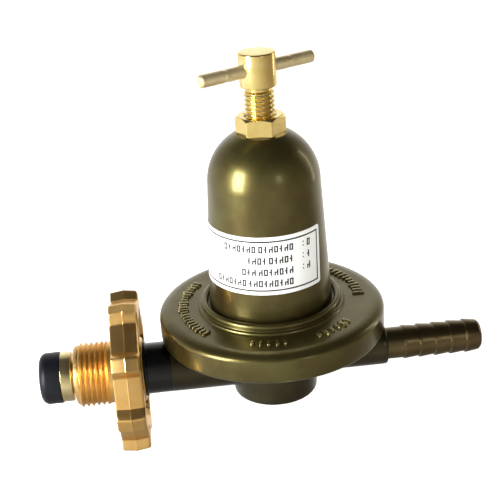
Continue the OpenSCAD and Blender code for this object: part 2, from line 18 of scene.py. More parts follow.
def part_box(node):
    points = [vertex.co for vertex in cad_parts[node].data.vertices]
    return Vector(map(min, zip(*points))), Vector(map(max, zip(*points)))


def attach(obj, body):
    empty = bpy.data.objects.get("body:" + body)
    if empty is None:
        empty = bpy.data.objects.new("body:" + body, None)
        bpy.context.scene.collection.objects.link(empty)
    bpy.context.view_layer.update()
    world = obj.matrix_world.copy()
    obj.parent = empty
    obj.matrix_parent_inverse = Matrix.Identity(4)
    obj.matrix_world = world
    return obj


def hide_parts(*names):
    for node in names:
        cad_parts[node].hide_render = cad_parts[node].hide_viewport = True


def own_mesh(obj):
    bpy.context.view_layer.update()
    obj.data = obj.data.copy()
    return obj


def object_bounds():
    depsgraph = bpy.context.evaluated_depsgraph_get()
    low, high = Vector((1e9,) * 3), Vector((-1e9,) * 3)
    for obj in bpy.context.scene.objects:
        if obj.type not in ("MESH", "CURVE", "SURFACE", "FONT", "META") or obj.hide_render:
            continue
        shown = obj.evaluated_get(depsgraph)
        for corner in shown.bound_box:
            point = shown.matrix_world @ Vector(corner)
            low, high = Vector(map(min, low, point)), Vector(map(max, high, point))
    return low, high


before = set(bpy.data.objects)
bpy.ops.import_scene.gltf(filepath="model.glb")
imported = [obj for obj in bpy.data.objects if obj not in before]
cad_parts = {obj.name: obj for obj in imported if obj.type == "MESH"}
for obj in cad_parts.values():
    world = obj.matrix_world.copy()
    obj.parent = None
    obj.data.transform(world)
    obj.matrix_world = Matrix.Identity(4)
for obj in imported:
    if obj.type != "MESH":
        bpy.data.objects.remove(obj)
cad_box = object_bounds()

MM = 0.001

# %% [markdown]
# ## Where things are
# The main places come from the boxes of the CAD nodes, and the sizes between them are named as they
# come up. The gas axis is X and the bell's axis is upright.
# Working in millimetres keeps the numbers close to a maker's drawing; the mesh is scaled to metres
# once, where it is made.

# %% Places read from the frame
def corners_of(node):
    """The lowest and highest corner of a CAD node, in mm."""
    low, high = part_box(node)
    return Vector(low) / MM, Vector(high) / MM


cover_low, cover_high = corners_of("bonnet_cover")
body_low, body_high = corners_of("body_casting")
BELL_X = (cover_low.x + cover_high.x) / 2
RIM_R = (cover_high.x - cover_low.x) / 2
LIP_FOOT = cover_low.z
RIM_H = 10.0
COLLAR_H = 3.7
BELL_H = 41.4
ROOF = LIP_FOOT + RIM_H
BELL_FOOT = ROOF + COLLAR_H
DOME_FOOT = BELL_FOOT + BELL_H
HEX_FOOT = cover_high.z
INLET_FACE = body_low.x
OUTLET_FACE = body_high.x
print("bell axis at x", round(BELL_X, 3), "rim radius", round(RIM_R, 3),
      "hex foot", round(HEX_FOOT, 2))

# %% [markdown]
# ## Mesh helpers
# Most of these pieces were turned on a lathe or cast round an axis, so one helper turns an outline
# into a closed solid. Real edges are never razor sharp: another helper replaces each corner of an
# outline with a small arc, because that arc is what catches the light.

# %% Outlines with rounded corners
def rounded(corners, steps=5):
    """Replaces each (radius, height, fillet) corner of an outline with an arc."""
    is_ring = corners[0][0] > 0
    last = len(corners) - 1
    outline = []
    for i, (x, y, fillet) in enumerate(corners):
        here = Vector((x, y))
        if fillet == 0 or (not is_ring and i in (0, last)):
            outline.append((x, y))
            continue
        back = Vector(corners[i - 1][:2]) - here
        ahead = Vector(corners[(i + 1) % len(corners)][:2]) - here
        corner = back.angle(ahead)
        setback = min(fillet / math.tan(corner / 2), 0.49 * back.length, 0.49 * ahead.length)
        radius = setback * math.tan(corner / 2)
        middle = (back.normalized() + ahead.normalized()).normalized()
        centre = here + middle * (radius / math.sin(corner / 2))
        first = here + back.normalized() * setback - centre
        final = here + ahead.normalized() * setback - centre
        turn = (math.pi - corner) * (1 if first.x * final.y > first.y * final.x else -1)
        for k in range(steps + 1):
            spot = centre + Matrix.Rotation(turn * k / steps, 2) @ first
            outline.append((spot.x, spot.y))
    return outline


def divided(outline, low, high, step, outside=0.0):
    """Adds rows to the runs of an outline between two heights and outside a radius."""
    rows = []
    for (r0, h0), (r1, h1) in zip(outline, outline[1:] + outline[:1]):
        rows.append((r0, h0))
        inside = low - 1e-6 <= min(h0, h1) and max(h0, h1) <= high + 1e-6
        if inside and min(r0, r1) >= outside:
            count = math.ceil(math.hypot(r1 - r0, h1 - h0) / step)
            rows += [(r0 + (r1 - r0) * k / count, h0 + (h1 - h0) * k / count)
                     for k in range(1, count)]
    return rows


def arc(cx, cy, rx, ry, start, end, steps=10):
    """Points of an elliptical arc in an outline, from one angle to another in degrees."""
    angles = [math.radians(start + (end - start) * k / steps) for k in range(steps + 1)]
    return [(cx + rx * math.cos(a), cy + ry * math.sin(a)) for a in angles]


# %% Solids from outlines
def solid(name, points, faces):
    """Makes a mesh object from points in mm, with its doubles merged and its faces outwards."""
    mesh = bpy.data.meshes.new(name)
    mesh.from_pydata([(x * MM, y * MM, z * MM) for x, y, z in points], [], faces)
    work = bmesh.new()
    work.from_mesh(mesh)
    bmesh.ops.remove_doubles(work, verts=work.verts, dist=1e-7)
    bmesh.ops.recalc_face_normals(work, faces=work.faces)
    work.to_mesh(mesh)
    work.free()
    piece = bpy.data.objects.new(name, mesh)
    bpy.context.scene.collection.objects.link(piece)
    return piece


def turned(name, outline, segments=128, shape=None):
    """Turns an outline of (radius, height) round the Z axis, as a lathe does.

    A point on the axis closes an end, and an outline that stays off the axis makes a ring.
    shape(radius, height, angle) may change the radius, for flats and dents.
    """
    points, rows = [], []
    for r, h in outline:
        if r < 1e-6:
            rows.append([len(points)] * segments)
            points.append((0, 0, h))
            continue
        rows.append(list(range(len(points), len(points) + segments)))
        for i in range(segments):
            a = 2 * math.pi * i / segments
            reach = shape(r, h, a) if shape else r
            points.append((reach * math.cos(a), reach * math.sin(a), h))
    pairs = list(zip(rows, rows[1:]))
    if outline[0][0] > 1e-6 and outline[-1][0] > 1e-6:
        pairs.append((rows[-1], rows[0]))
    faces = []
    for lower, upper in pairs:
        for i in range(segments):
            j = (i + 1) % segments
            face = list(dict.fromkeys((lower[i], lower[j], upper[j], upper[i])))
            if len(face) > 2:
                faces.append(face)
    return solid(name, points, faces)


LIE_ALONG_X = Matrix.Rotation(math.radians(90), 4, "Y")


def shifted(piece, x=0.0, y=0.0, z=0.0, turn=None):
    """Turns a piece's mesh and moves it by mm; its object stays at the origin."""
    if turn:
        piece.data.transform(turn)
    piece.data.transform(Matrix.Translation(Vector((x, y, z)) * MM))
    return piece


def along_x(name, outline, segments=128, x=0.0):
    """Turns an outline and lays the piece along the gas axis, its heights towards +X."""
    return shifted(turned(name, outline, segments), x=x, turn=LIE_ALONG_X)


def rod(radius, low, high):
    """The outline of a plain rod, such as a drill."""
    return [(0, low), (radius, low), (radius, high), (0, high)]


def block(name, half_x, half_y, low, high):
    """A plain block round the Z axis, between two heights."""
    corners = [(sx * half_x, sy * half_y, z) for z in (low, high)
               for sx, sy in ((-1, -1), (1, -1), (1, 1), (-1, 1))]
    return solid(name, corners, [(0, 1, 2, 3), (4, 5, 6, 7), (0, 1, 5, 4), (1, 2, 6, 5),
                                 (2, 3, 7, 6), (3, 0, 4, 7)])


# %% Baking and cutting
def baked(piece):
    """Replaces a piece's mesh with what its modifiers make of it, and removes them."""
    depsgraph = bpy.context.evaluated_depsgraph_get()
    mesh = bpy.data.meshes.new_from_object(piece.evaluated_get(depsgraph))
    piece.modifiers.clear()
    piece.data = mesh
    return piece


def cut(piece, tool, operation="DIFFERENCE"):
    """Cuts one solid with another, or joins them, and removes the tool."""
    knife = piece.modifiers.new("cut", "BOOLEAN")
    knife.operation = operation
    knife.solver = "EXACT"
    knife.object = tool
    baked(piece)
    bpy.data.objects.remove(tool)
    return piece


def fitted(piece, body, finish, slot, *nodes, crease=32):
    """Gives a finished piece its material and shading, and hands it to its CAD body."""
    piece.data.materials.clear()
    piece.data.materials.append(finish)
    piece.data.shade_smooth()
    piece.data.set_sharp_from_angle(angle=math.radians(crease))
    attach(piece, body)
    if nodes:
        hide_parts(*nodes)
    print(piece.name, "faces", len(piece.data.polygons), "on", body)
    return piece


# %% [markdown]
# ## Node helpers
# Shader trees and Geometry Nodes trees are both graphs of nodes. One small function adds a node,
# sets its options and links its inputs, so each tree below reads like a list of steps. Colours are
# written as hex values, as a screen shows them, and turned into linear light once.

# %% One function adds a node
def add_node(tree, kind, inputs=(), **settings):
    """Adds a node. An input is a number, a colour, another node or one of its outputs."""
    node = tree.nodes.new(kind)
    for name, value in settings.items():
        setattr(node, name, value)
    for key, value in inputs.items() if isinstance(inputs, dict) else enumerate(inputs):
        if isinstance(value, bpy.types.Node):
            value = value.outputs[0]
        if isinstance(value, bpy.types.NodeSocket):
            tree.links.new(value, node.inputs[key])
        elif value is not None:
            node.inputs[key].default_value = value
    return node


def linear(hex_colour):
    """Turns an sRGB colour such as "c9a443" into linear red, green, blue and alpha."""
    parts = [int(hex_colour[i:i + 2], 16) / 255 for i in (0, 2, 4)]
    light = [c / 12.92 if c <= 0.04045 else ((c + 0.055) / 1.055) ** 2.4 for c in parts]
    return (*light, 1.0)


MATH = "ShaderNodeMath"
print("linear mid grey:", round(linear("808080")[0], 3))

# %% [markdown]
# ## Finishes
# A surface is more than a colour. Each finish here has two close colours that drift over the piece,
# a grain with a real size that moves both the bump and the gloss, and edges that are a little
# polished by handling. The sizes are in millimetres, so a grain keeps its scale on every piece.
# Patterns read Object coordinates, which stay with the piece when a joint moves it.

# %% One recipe for a finish
def surface(name, base, drift, drift_mm, roughness, grain_mm, grain_depth_mm, metallic=0.0,
            spread=0.08, stretch=(1, 1, 1), worn=None, worn_from=0.53, **sockets):
    """Builds a material: colour drift, a grain in bump and gloss, and worn edges."""
    finish = bpy.data.materials.new(name)
    finish.use_nodes = True
    tree = finish.node_tree
    shader = tree.nodes["Principled BSDF"]
    shader.inputs["Metallic"].default_value = metallic
    for socket, value in sockets.items():
        shader.inputs[socket.replace("_", " ")].default_value = value
    place = add_node(tree, "ShaderNodeTexCoord").outputs["Object"]
    drawn = add_node(tree, "ShaderNodeMapping", {"Vector": place, "Scale": stretch})
    cloud = add_node(tree, "ShaderNodeTexNoise", {"Vector": place, "Scale": 1 / (drift_mm * MM),
                                                  "Detail": 3.0})
    share = add_node(tree, "ShaderNodeMapRange", [cloud, 0.35, 0.65, 0.0, 1.0])
    colour = add_node(tree, "ShaderNodeMix", {0: share, 6: linear(base), 7: linear(drift)},
                      data_type="RGBA").outputs[2]
    grain = add_node(tree, "ShaderNodeTexNoise", {"Vector": drawn, "Scale": 1 / (grain_mm * MM),
                                                  "Detail": 2.0})
    gloss = add_node(tree, "ShaderNodeMapRange",
                     [grain, 0.3, 0.7, roughness - spread / 2, roughness + spread / 2])
    if worn:
        edge = add_node(tree, "ShaderNodeNewGeometry").outputs["Pointiness"]
        rubbed = add_node(tree, "ShaderNodeMapRange", [edge, worn_from, worn_from + 0.05, 0.0, 0.7])
        colour = add_node(tree, "ShaderNodeMix", {0: rubbed, 6: colour, 7: linear(worn)},
                          data_type="RGBA").outputs[2]
    bump = add_node(tree, "ShaderNodeBump", {"Height": grain, "Strength": 1.0,
                                             "Distance": grain_depth_mm * MM})
    tree.links.new(colour, shader.inputs["Base Color"])
    tree.links.new(gloss.outputs[0], shader.inputs["Roughness"])
    tree.links.new(bump.outputs[0], shader.inputs["Normal"])
    print("finish:", name)
    return finish


# %% [markdown]
# ### Paint on the castings
# The body and the bell are sprayed with a metallic lacquer, olive with bronze in it. Fine flakes
# make it glint; they are too small to see here, so a high metallic value stands for them. The clear
# top layer gives sharp reflections with a faint orange peel, a ripple about 1.5 mm across. Paint
# thins on sharp edges, so those are a little lighter. The body's copy of the lacquer is much darker
# than the bell's: that darkness is painted shade, for the shadow that the flange throws on the
# body.

# %% Paint
olive_lacquer = surface("olive_bronze_lacquer_sprayed", "665f35", "5b502c", 9.0, 0.31, 1.5, 0.006,
                        metallic=0.9, spread=0.05, worn="8f8552", Coat_Weight=0.25,
                        Coat_Roughness=0.08)
# Painted shade: this copy of the lacquer is darker than the bell's to stand for the flange's shadow
# on the body.
body_lacquer_painted_shade = surface("olive_bronze_lacquer_rough_with_painted_shade", "3f3921", "332e1a", 7.0, 0.36, 1.1,
                       0.012, metallic=0.9, worn="6f6640", Coat_Weight=0.3, Coat_Roughness=0.12)
# Partly painted highlight: the marks' lighter lacquer stands for rubbed paint on the relief and for
# the bright light its rims catch.
relief_lacquer = surface("olive_bronze_lacquer_rubbed_and_painted_highlight_on_relief", "948a58", "857b4c", 3.0, 0.26,
                         1.5, 0.004, metallic=0.9, Coat_Weight=0.25, Coat_Roughness=0.08)

# %% [markdown]
# ### Brass, in five states
# Turned and polished brass is yellow and sharp, and the tee bar's drawn rod is paler and duller.
# Forged brass keeps the dull skin of the die, which is redder. The nipple's brass is washed with
# nickel, so it looks pale. The hose nozzle was darkened to bronze. Turning marks run round a piece,
# so the grain is stretched across its axis: a pattern that is fine along the axis and long round it
# reads as a lathe's finish.

# %% Brass
turned_brass = surface("yellow_brass_turned_polished", "f0d890", "e6ca7a", 5.0, 0.18, 0.25, 0.004,
                       metallic=1.0, spread=0.08, stretch=(0.06, 0.06, 1.0), worn="fbf0c8")
bar_brass = surface("yellow_brass_drawn_rod", "f6e6b8", "ecd8a2", 3.0, 0.34, 0.30, 0.004,
                    metallic=0.8, worn="fbf0cc")
forged_brass = surface("forged_brass_with_die_skin", "ecc27a", "e2b46a", 8.0, 0.31, 0.9, 0.002,
                       metallic=1.0, spread=0.05, worn="f6d68e", worn_from=0.56)
pale_brass = surface("nickel_washed_brass_turned", "e6d6a4", "dac690", 4.0, 0.20, 0.25, 0.004,
                     metallic=1.0, stretch=(1.0, 0.06, 0.06), worn="efe2b8")
bronzed_brass = surface("brass_darkened_to_bronze", "625439", "6c5e42", 6.0, 0.31, 0.35, 0.002,
                        metallic=1.0, stretch=(1.0, 0.08, 0.08), worn="a08a55")

# %% [markdown]
# ### Rubber, plastic, steel, fibre and film
# Moulded rubber is matt with a fine pitted skin. The sleeve is a glossy moulded plastic with almost
# no grain. The inner steel parts are plated or ground. The label is a white film with a satin
# varnish, and its print is a dark grey ink.

# %% The other finishes
nose_rubber = surface("nitrile_rubber_moulded", "090b11", "0e1119", 4.0, 0.44, 0.5, 0.006,
                      spread=0.10, Specular_IOR_Level=0.3)
black_rubber = surface("nitrile_rubber_with_fabric", "1b1b1e", "232327", 5.0, 0.55, 0.6, 0.02)
sleeve_plastic = surface("nylon_moulded_glossy_black", "030405", "060709", 7.0, 0.16, 1.2, 0.002,
                         spread=0.04, Specular_IOR_Level=0.42)
zinc_plate = surface("steel_zinc_plated", "aeb2b6", "9aa0a8", 6.0, 0.30, 0.5, 0.006, metallic=1.0)
ground_steel = surface("bearing_steel_ground", "c4c7ca", "b7bbc0", 3.0, 0.10, 0.2, 0.002,
                       metallic=1.0)
spring_steel = surface("spring_wire_oil_tempered", "54575c", "43464b", 3.0, 0.34, 0.3, 0.006,
                       metallic=1.0)
red_fibre = surface("vulcanised_fibre_pressed", "7d3b2a", "6a2f22", 2.0, 0.65, 0.3, 0.010)
label_film = surface("label_film_satin_white", "f4f3ef", "efeeea", 12.0, 0.32, 1.5, 0.003,
                     Specular_IOR_Level=0.5)
label_ink = surface("label_print_dark_ink", "121216", "1a1a20", 6.0, 0.42, 0.4, 0.002)

# %% [markdown]
# ## Trees for what follows a rule
# Geometry Nodes suit shapes that a formula describes. The handwheel's rim is a disc whose radius
# depends on the angle, and a thread is a groove whose place depends on both the angle and the
# height. Both trees move the points of a plain turned blank. Every tree has its sizes as named
# inputs, so a learner can change one number and see what it does.

# %% Start and run a tree
def new_tree(name, sizes):
    """A Geometry Nodes tree with a geometry, a material and one named number per size."""
    tree = bpy.data.node_groups.new(name, "GeometryNodeTree")
    tree.interface.new_socket("Geometry", in_out="INPUT", socket_type="NodeSocketGeometry")
    for size in sizes:
        tree.interface.new_socket(size, in_out="INPUT", socket_type="NodeSocketFloat")
    tree.interface.new_socket("Finish", in_out="INPUT", socket_type="NodeSocketMaterial")
    tree.interface.new_socket("Geometry", in_out="OUTPUT", socket_type="NodeSocketGeometry")
    return tree, add_node(tree, "NodeGroupInput").outputs


def close_tree(tree, shape, finish):
    """Ends a tree: real geometry instead of instances, with its material."""
    real = add_node(tree, "GeometryNodeRealizeInstances", [shape])
    dressed = add_node(tree, "GeometryNodeSetMaterial", {"Geometry": real, "Material": finish})
    add_node(tree, "NodeGroupOutput", [dressed])
    return tree


def run_tree(piece, tree, finish, sizes):
    """Runs a tree on a piece with its inputs set by identifier, and bakes the result."""
    modifier = piece.modifiers.new(tree.name, "NODES")
    modifier.node_group = tree
    for item in tree.interface.items_tree:
        if item.in_out == "INPUT" and item.name in sizes:
            modifier[item.identifier] = float(sizes[item.name])
        elif item.in_out == "INPUT" and item.name == "Finish":
            modifier[item.identifier] = finish
    return baked(piece)


def polar_start(tree):
    """Every point's x, y and z, its distance from the Z axis and its angle round it."""
    spot = add_node(tree, "ShaderNodeSeparateXYZ", [add_node(tree, "GeometryNodeInputPosition")])
    x, y, z = spot.outputs
    squares = [add_node(tree, MATH, [side, side], operation="MULTIPLY") for side in (x, y)]
    radius = add_node(tree, MATH, [add_node(tree, MATH, squares), 0.5], operation="POWER")
    return x, y, z, radius, add_node(tree, MATH, [y, x], operation="ARCTAN2")


def moved_to_radius(tree, shape, x, y, z, radius, new_radius):
    """Moves every point straight in or out, to a new distance from the Z axis."""
    ratio = add_node(tree, MATH, [
        new_radius, add_node(tree, MATH, [radius, 1e-6], operation="MAXIMUM")], operation="DIVIDE")
    sides = [add_node(tree, MATH, [side, ratio], operation="MULTIPLY") for side in (x, y)]
    target = add_node(tree, "ShaderNodeCombineXYZ", [*sides, z])
    return add_node(tree, "GeometryNodeSetPosition", {"Geometry": shape, "Position": target})


def point_round_axis(tree, angle, radius, height):
    """The place at an angle and a distance round the Z axis, at a height."""
    sides = [add_node(tree, MATH, [add_node(tree, MATH, [angle], operation=side), radius],
                      operation="MULTIPLY") for side in ("COSINE", "SINE")]
    return add_node(tree, "ShaderNodeCombineXYZ", [*sides, height])


# %% [markdown]
# ### The thread cutter
# A thread is a groove that climbs one pitch for each turn. The fraction of height over pitch, less
# the share of a turn, says where a point lies between two crests. A triangle wave of that fraction
# is the V of the groove, held flat for a small share at the crest and the root, and a window fades
# it out at both ends. Hand is 1 for a right-hand thread
# and -1 for a left-hand one, as on a gas inlet.

# %% Tree: cut a thread
FLAT_SHARE = 0.13
tree, size = new_tree("cut_thread", ["Pitch", "Depth", "Crest radius", "Start", "End", "Hand"])
x, y, z, radius, angle = polar_start(tree)
turns = add_node(tree, MATH, [angle, 2 * math.pi], operation="DIVIDE")
climb = add_node(tree, MATH, [turns, size["Hand"]], operation="MULTIPLY")
pitches = add_node(tree, MATH, [z, size["Pitch"]], operation="DIVIDE")
phase = add_node(tree, MATH, [
    add_node(tree, MATH, [pitches, climb], operation="SUBTRACT")], operation="FRACT")
wave = add_node(tree, MATH, [
    add_node(tree, MATH, [add_node(tree, MATH, [phase, 0.5], operation="SUBTRACT")],
             operation="ABSOLUTE"), 2.0], operation="MULTIPLY")
groove = add_node(tree, "ShaderNodeMapRange", [wave, FLAT_SHARE, 1 - FLAT_SHARE, 0.0, 1.0])
half_pitch = add_node(tree, MATH, [size["Pitch"], 0.5], operation="MULTIPLY")
fade_in = add_node(tree, "ShaderNodeMapRange", [
    z, size["Start"], add_node(tree, MATH, [size["Start"], half_pitch]), 0.0, 1.0])
fade_out = add_node(tree, "ShaderNodeMapRange", [
    z, add_node(tree, MATH, [size["End"], half_pitch], operation="SUBTRACT"), size["End"],
    1.0, 0.0])
window = add_node(tree, MATH, [fade_in, fade_out], operation="MINIMUM")
bite = add_node(tree, MATH, [
    add_node(tree, MATH, [groove, window], operation="MULTIPLY"), size["Depth"]],
    operation="MULTIPLY")
limit = add_node(tree, MATH, [size["Crest radius"], bite], operation="SUBTRACT")
held = add_node(tree, MATH, [radius, limit], operation="MINIMUM")
gate = add_node(tree, MATH, [window, 0.0], operation="GREATER_THAN")
moved = add_node(tree, MATH, [
    add_node(tree, MATH, [held, radius], operation="SUBTRACT"), gate], operation="MULTIPLY")
threaded = moved_to_radius(tree, size["Geometry"], x, y, z, radius,
                           add_node(tree, MATH, [radius, moved]))
thread_tree = close_tree(tree, threaded, size["Finish"])
print("thread cutter:", len(thread_tree.nodes), "nodes")

# %% [markdown]
# ### The lobed rim
# The handwheel has narrow flat lobes with wide flat valleys between them. A flat facet at a
# distance has a radius of that distance over the cosine of the angle off its middle, so the rim's
# radius runs from the valley's facet to the lobe's along a short slope. Points outside the hub are
# pulled in by the same share, which keeps the rounded edges of the blank.

# %% Tree: shape the lobed rim
tree, size = new_tree("lobed_rim", ["Lobes", "Rim radius", "Valley radius", "Lobe radius",
                                    "Valley edge", "Lobe edge", "Turn", "Hub radius"])
x, y, z, radius, around = polar_start(tree)
angle = add_node(tree, MATH, [around, size["Turn"]], operation="SUBTRACT")
lobes_on = add_node(tree, MATH, [
    add_node(tree, MATH, [angle, size["Lobes"]], operation="MULTIPLY"), 2 * math.pi],
    operation="DIVIDE")
share = add_node(tree, MATH, [add_node(tree, MATH, [lobes_on], operation="FRACT"), 0.5],
                 operation="SUBTRACT")
folded = add_node(tree, MATH, [
    add_node(tree, MATH, [share, 2 * math.pi], operation="MULTIPLY"), size["Lobes"]],
    operation="DIVIDE")
off_valley = add_node(tree, MATH, [folded], operation="ABSOLUTE")
off_lobe = add_node(tree, MATH, [
    add_node(tree, MATH, [math.pi, size["Lobes"]], operation="DIVIDE"), off_valley],
    operation="SUBTRACT")
floor_r = add_node(tree, MATH, [
    size["Valley radius"], add_node(tree, MATH, [off_valley], operation="COSINE")],
    operation="DIVIDE")
crest_r = add_node(tree, MATH, [
    size["Lobe radius"], add_node(tree, MATH, [off_lobe], operation="COSINE")],
    operation="DIVIDE")
outline = add_node(tree, "ShaderNodeMapRange", [
    off_valley, size["Valley edge"], size["Lobe edge"], floor_r, crest_r])
kept = add_node(tree, MATH, [
    add_node(tree, MATH, [outline, size["Hub radius"]], operation="SUBTRACT"),
    add_node(tree, MATH, [size["Rim radius"], size["Hub radius"]], operation="SUBTRACT")],
    operation="DIVIDE")
beyond = add_node(tree, MATH, [
    add_node(tree, MATH, [radius, size["Hub radius"]], operation="SUBTRACT"), 0.0],
    operation="MAXIMUM")
pulled = add_node(tree, MATH, [
    beyond, add_node(tree, MATH, [1.0, kept], operation="SUBTRACT")], operation="MULTIPLY")
lobed = moved_to_radius(tree, size["Geometry"], x, y, z, radius,
                        add_node(tree, MATH, [radius, pulled], operation="SUBTRACT"))
lobe_tree = close_tree(tree, lobed, size["Finish"])
print("lobed rim:", len(lobe_tree.nodes), "nodes")

# %% [markdown]
# ### Wound wire, raised marks and a wrapped label
# A spring follows a helix whose first and last turns lie flat. The marks on the cover repeat one
# rounded bar along an arc, with lengths from a fixed seed. The label is drawn flat and then bent
# round the bell's cone, so its lines stay parallel as on the real film.

# %% Tree: wind a spring
STEPS_A_TURN = 32.0
FLAT_TURNS = 0.75
tree, size = new_tree("wound_wire", ["Turns", "Mean radius", "Wire radius", "Foot", "Top"])
count = add_node(tree, MATH, [size["Turns"], STEPS_A_TURN, 1.0], operation="MULTIPLY_ADD")
line = add_node(tree, "GeometryNodeMeshLine", {"Count": count})
turn = add_node(tree, MATH, [add_node(tree, "GeometryNodeInputIndex"), STEPS_A_TURN],
                operation="DIVIDE")
angle = add_node(tree, MATH, [turn, 2 * math.pi], operation="MULTIPLY")
live_end = add_node(tree, MATH, [size["Turns"], FLAT_TURNS], operation="SUBTRACT")
low = add_node(tree, MATH, [size["Foot"], size["Wire radius"]])
high = add_node(tree, MATH, [size["Top"], size["Wire radius"]], operation="SUBTRACT")
rise = add_node(tree, "ShaderNodeMapRange", [turn, FLAT_TURNS, live_end, low, high])
target = point_round_axis(tree, angle, size["Mean radius"], rise)
wound = add_node(tree, "GeometryNodeSetPosition", {"Geometry": line, "Position": target})
path = add_node(tree, "GeometryNodeMeshToCurve", [wound])
section = add_node(tree, "GeometryNodeCurvePrimitiveCircle",
                   {"Resolution": 12, "Radius": size["Wire radius"]})
wire = add_node(tree, "GeometryNodeCurveToMesh", {"Curve": path, "Profile Curve": section,
                                                  "Fill Caps": True})
coil_tree = close_tree(tree, wire, size["Finish"])
print("wound wire:", len(coil_tree.nodes), "nodes")

# %% Tree: raise marks along an arc
tree, size = new_tree("raised_marks", ["Count", "Arc radius", "From", "To", "Height", "Seed"])
line = add_node(tree, "GeometryNodeMeshLine", {"Count": size["Count"]})
last = add_node(tree, MATH, [size["Count"], 1.0], operation="SUBTRACT")
angle = add_node(tree, "ShaderNodeMapRange", [
    add_node(tree, "GeometryNodeInputIndex"), 0.0, last, size["From"], size["To"]])
spot = point_round_axis(tree, angle, size["Arc radius"], size["Height"])
spaced = add_node(tree, "GeometryNodeSetPosition", {"Geometry": line, "Position": spot})
bar = add_node(tree, "GeometryNodeMeshCube", {"Size": (1 * MM, 1 * MM, 1 * MM)})
softened = add_node(tree, "GeometryNodeSubdivisionSurface",
                    {"Mesh": bar, "Level": 2, "Edge Crease": 0.45})
lengths = add_node(tree, "FunctionNodeRandomValue",
                   {"Min": (2.4, 0.7, 1.4), "Max": (4.2, 1.2, 1.4), "Seed": size["Seed"]},
                   data_type="FLOAT_VECTOR")
facing = add_node(tree, "ShaderNodeCombineXYZ", [0.0, 0.0, angle])
marks = add_node(tree, "GeometryNodeInstanceOnPoints",
                 {"Points": spaced, "Instance": softened, "Rotation": facing, "Scale": lengths})
mark_tree = close_tree(tree, marks, size["Finish"])
print("raised marks:", len(mark_tree.nodes), "nodes")

# %% Tree: bend a flat label round the bell
tree, size = new_tree("wrap_round_bell", ["Foot radius", "Taper", "Foot height", "Right edge",
                                          "Lean", "Middle", "Stand off"])
spot = add_node(tree, "ShaderNodeSeparateXYZ", [add_node(tree, "GeometryNodeInputPosition")])
along, thick, z = spot.outputs
wall = add_node(tree, MATH, [
    add_node(tree, MATH, [z, size["Foot height"]], operation="SUBTRACT"), size["Taper"],
    size["Foot radius"]], operation="MULTIPLY_ADD")
radius = add_node(tree, MATH, [add_node(tree, MATH, [wall, size["Stand off"]]), thick])
slant = add_node(tree, MATH, [
    add_node(tree, MATH, [z, size["Middle"]], operation="SUBTRACT"), size["Lean"], along],
    operation="MULTIPLY_ADD")
angle = add_node(tree, MATH, [
    size["Right edge"], add_node(tree, MATH, [slant, wall], operation="DIVIDE")])
target = point_round_axis(tree, angle, radius, z)
wrapped = add_node(tree, "GeometryNodeSetPosition",
                   {"Geometry": size["Geometry"], "Position": target})
wrap_tree = close_tree(tree, wrapped, size["Finish"])
print("label wrap:", len(wrap_tree.nodes), "nodes")

# %% [markdown]
# ## The cover and its bell
# One casting makes the flange, the collar and the bell. Its outline could be drawn with a curve and
# spun by a modifier; here it is a list of points, because the same list also holds the inside. The
# flange's edge rolls over softly, and a bead stands round the bell's foot.

# %% Cover outline
BELL_FOOT_R = 21.0
BELL_NECK_R = 18.8
DOME_R = 18.4
WALL = 2.4
COLLAR_R = 25.15
BEAD = 1.2
COLLAR_STEP = 0.7
dome_centre = BELL_NECK_R - DOME_R
dome_end = math.degrees(math.asin((HEX_FOOT - DOME_FOOT) / DOME_R))
bead_x = COLLAR_R - 0.9 - BEAD
bead_z = ROOF + COLLAR_STEP + BEAD
RIM_WALL = 1.6
LIP_T = 1.3
LIP_W = 2.4
CURL_W = 4.6
CURL_H = 2.6
CLAMP_DEPTH = 3.7
ROOF_T = 1.5
CHAMBER_R = 30.5
inner_rim_r = RIM_R - RIM_WALL
clamp_z = ROOF - CLAMP_DEPTH
outside = rounded([
    (inner_rim_r - LIP_W, LIP_FOOT + LIP_T, 0), (inner_rim_r - LIP_W, LIP_FOOT, 0.4),
    (RIM_R, LIP_FOOT, 1.1), (RIM_R, ROOF - CURL_H, 0)], 5)
outside += arc(RIM_R - CURL_W, ROOF - CURL_H, CURL_W, CURL_H, 4, 90, 12)
outside += [(r, ROOF) for r in (32.5, 30.0, 27.5)]
outside += rounded([(26.6, ROOF, 0), (COLLAR_R + 0.3, ROOF, 0.5),
                    (COLLAR_R, ROOF + COLLAR_STEP, 0.3),
                    (bead_x + BEAD, ROOF + COLLAR_STEP + 0.05, 0.25), (bead_x + BEAD, bead_z, 0)])
outside += arc(bead_x, bead_z, BEAD, BEAD, 4, 176, 12)
outside += rounded([(bead_x - BEAD, bead_z, 0), (bead_x - BEAD, bead_z - 0.9, 0.15),
                    (BELL_FOOT_R, bead_z - 0.9, 0.35), (BELL_FOOT_R, BELL_FOOT, 0)])
WALL_ROWS = 8
outside += [(BELL_FOOT_R + (BELL_NECK_R - BELL_FOOT_R) * k / WALL_ROWS,
             BELL_FOOT + (DOME_FOOT - BELL_FOOT) * k / WALL_ROWS) for k in range(1, WALL_ROWS)]
outside += arc(dome_centre, DOME_FOOT, DOME_R, DOME_R, 0, dome_end, 26)
bush_hole_r = 6.8
inside = [(bush_hole_r, HEX_FOOT), (bush_hole_r, HEX_FOOT - WALL - 1)]
inside += arc(dome_centre, DOME_FOOT, DOME_R - WALL, DOME_R - WALL, 58, 0, 14)
inside += [(BELL_FOOT_R - WALL, BELL_FOOT), (BELL_FOOT_R - WALL, ROOF - ROOF_T),
           (CHAMBER_R, ROOF - ROOF_T), (CHAMBER_R, clamp_z), (inner_rim_r, clamp_z),
           (inner_rim_r, LIP_FOOT + LIP_T)]
cover = turned("cover_and_bell", outside + inside, 160)

# %% [markdown]
# A small vent at the back lets the spring chamber breathe. It is cut with a boolean, and so are the
# other drilled holes below, because a hole through a curved wall has no simple outline.

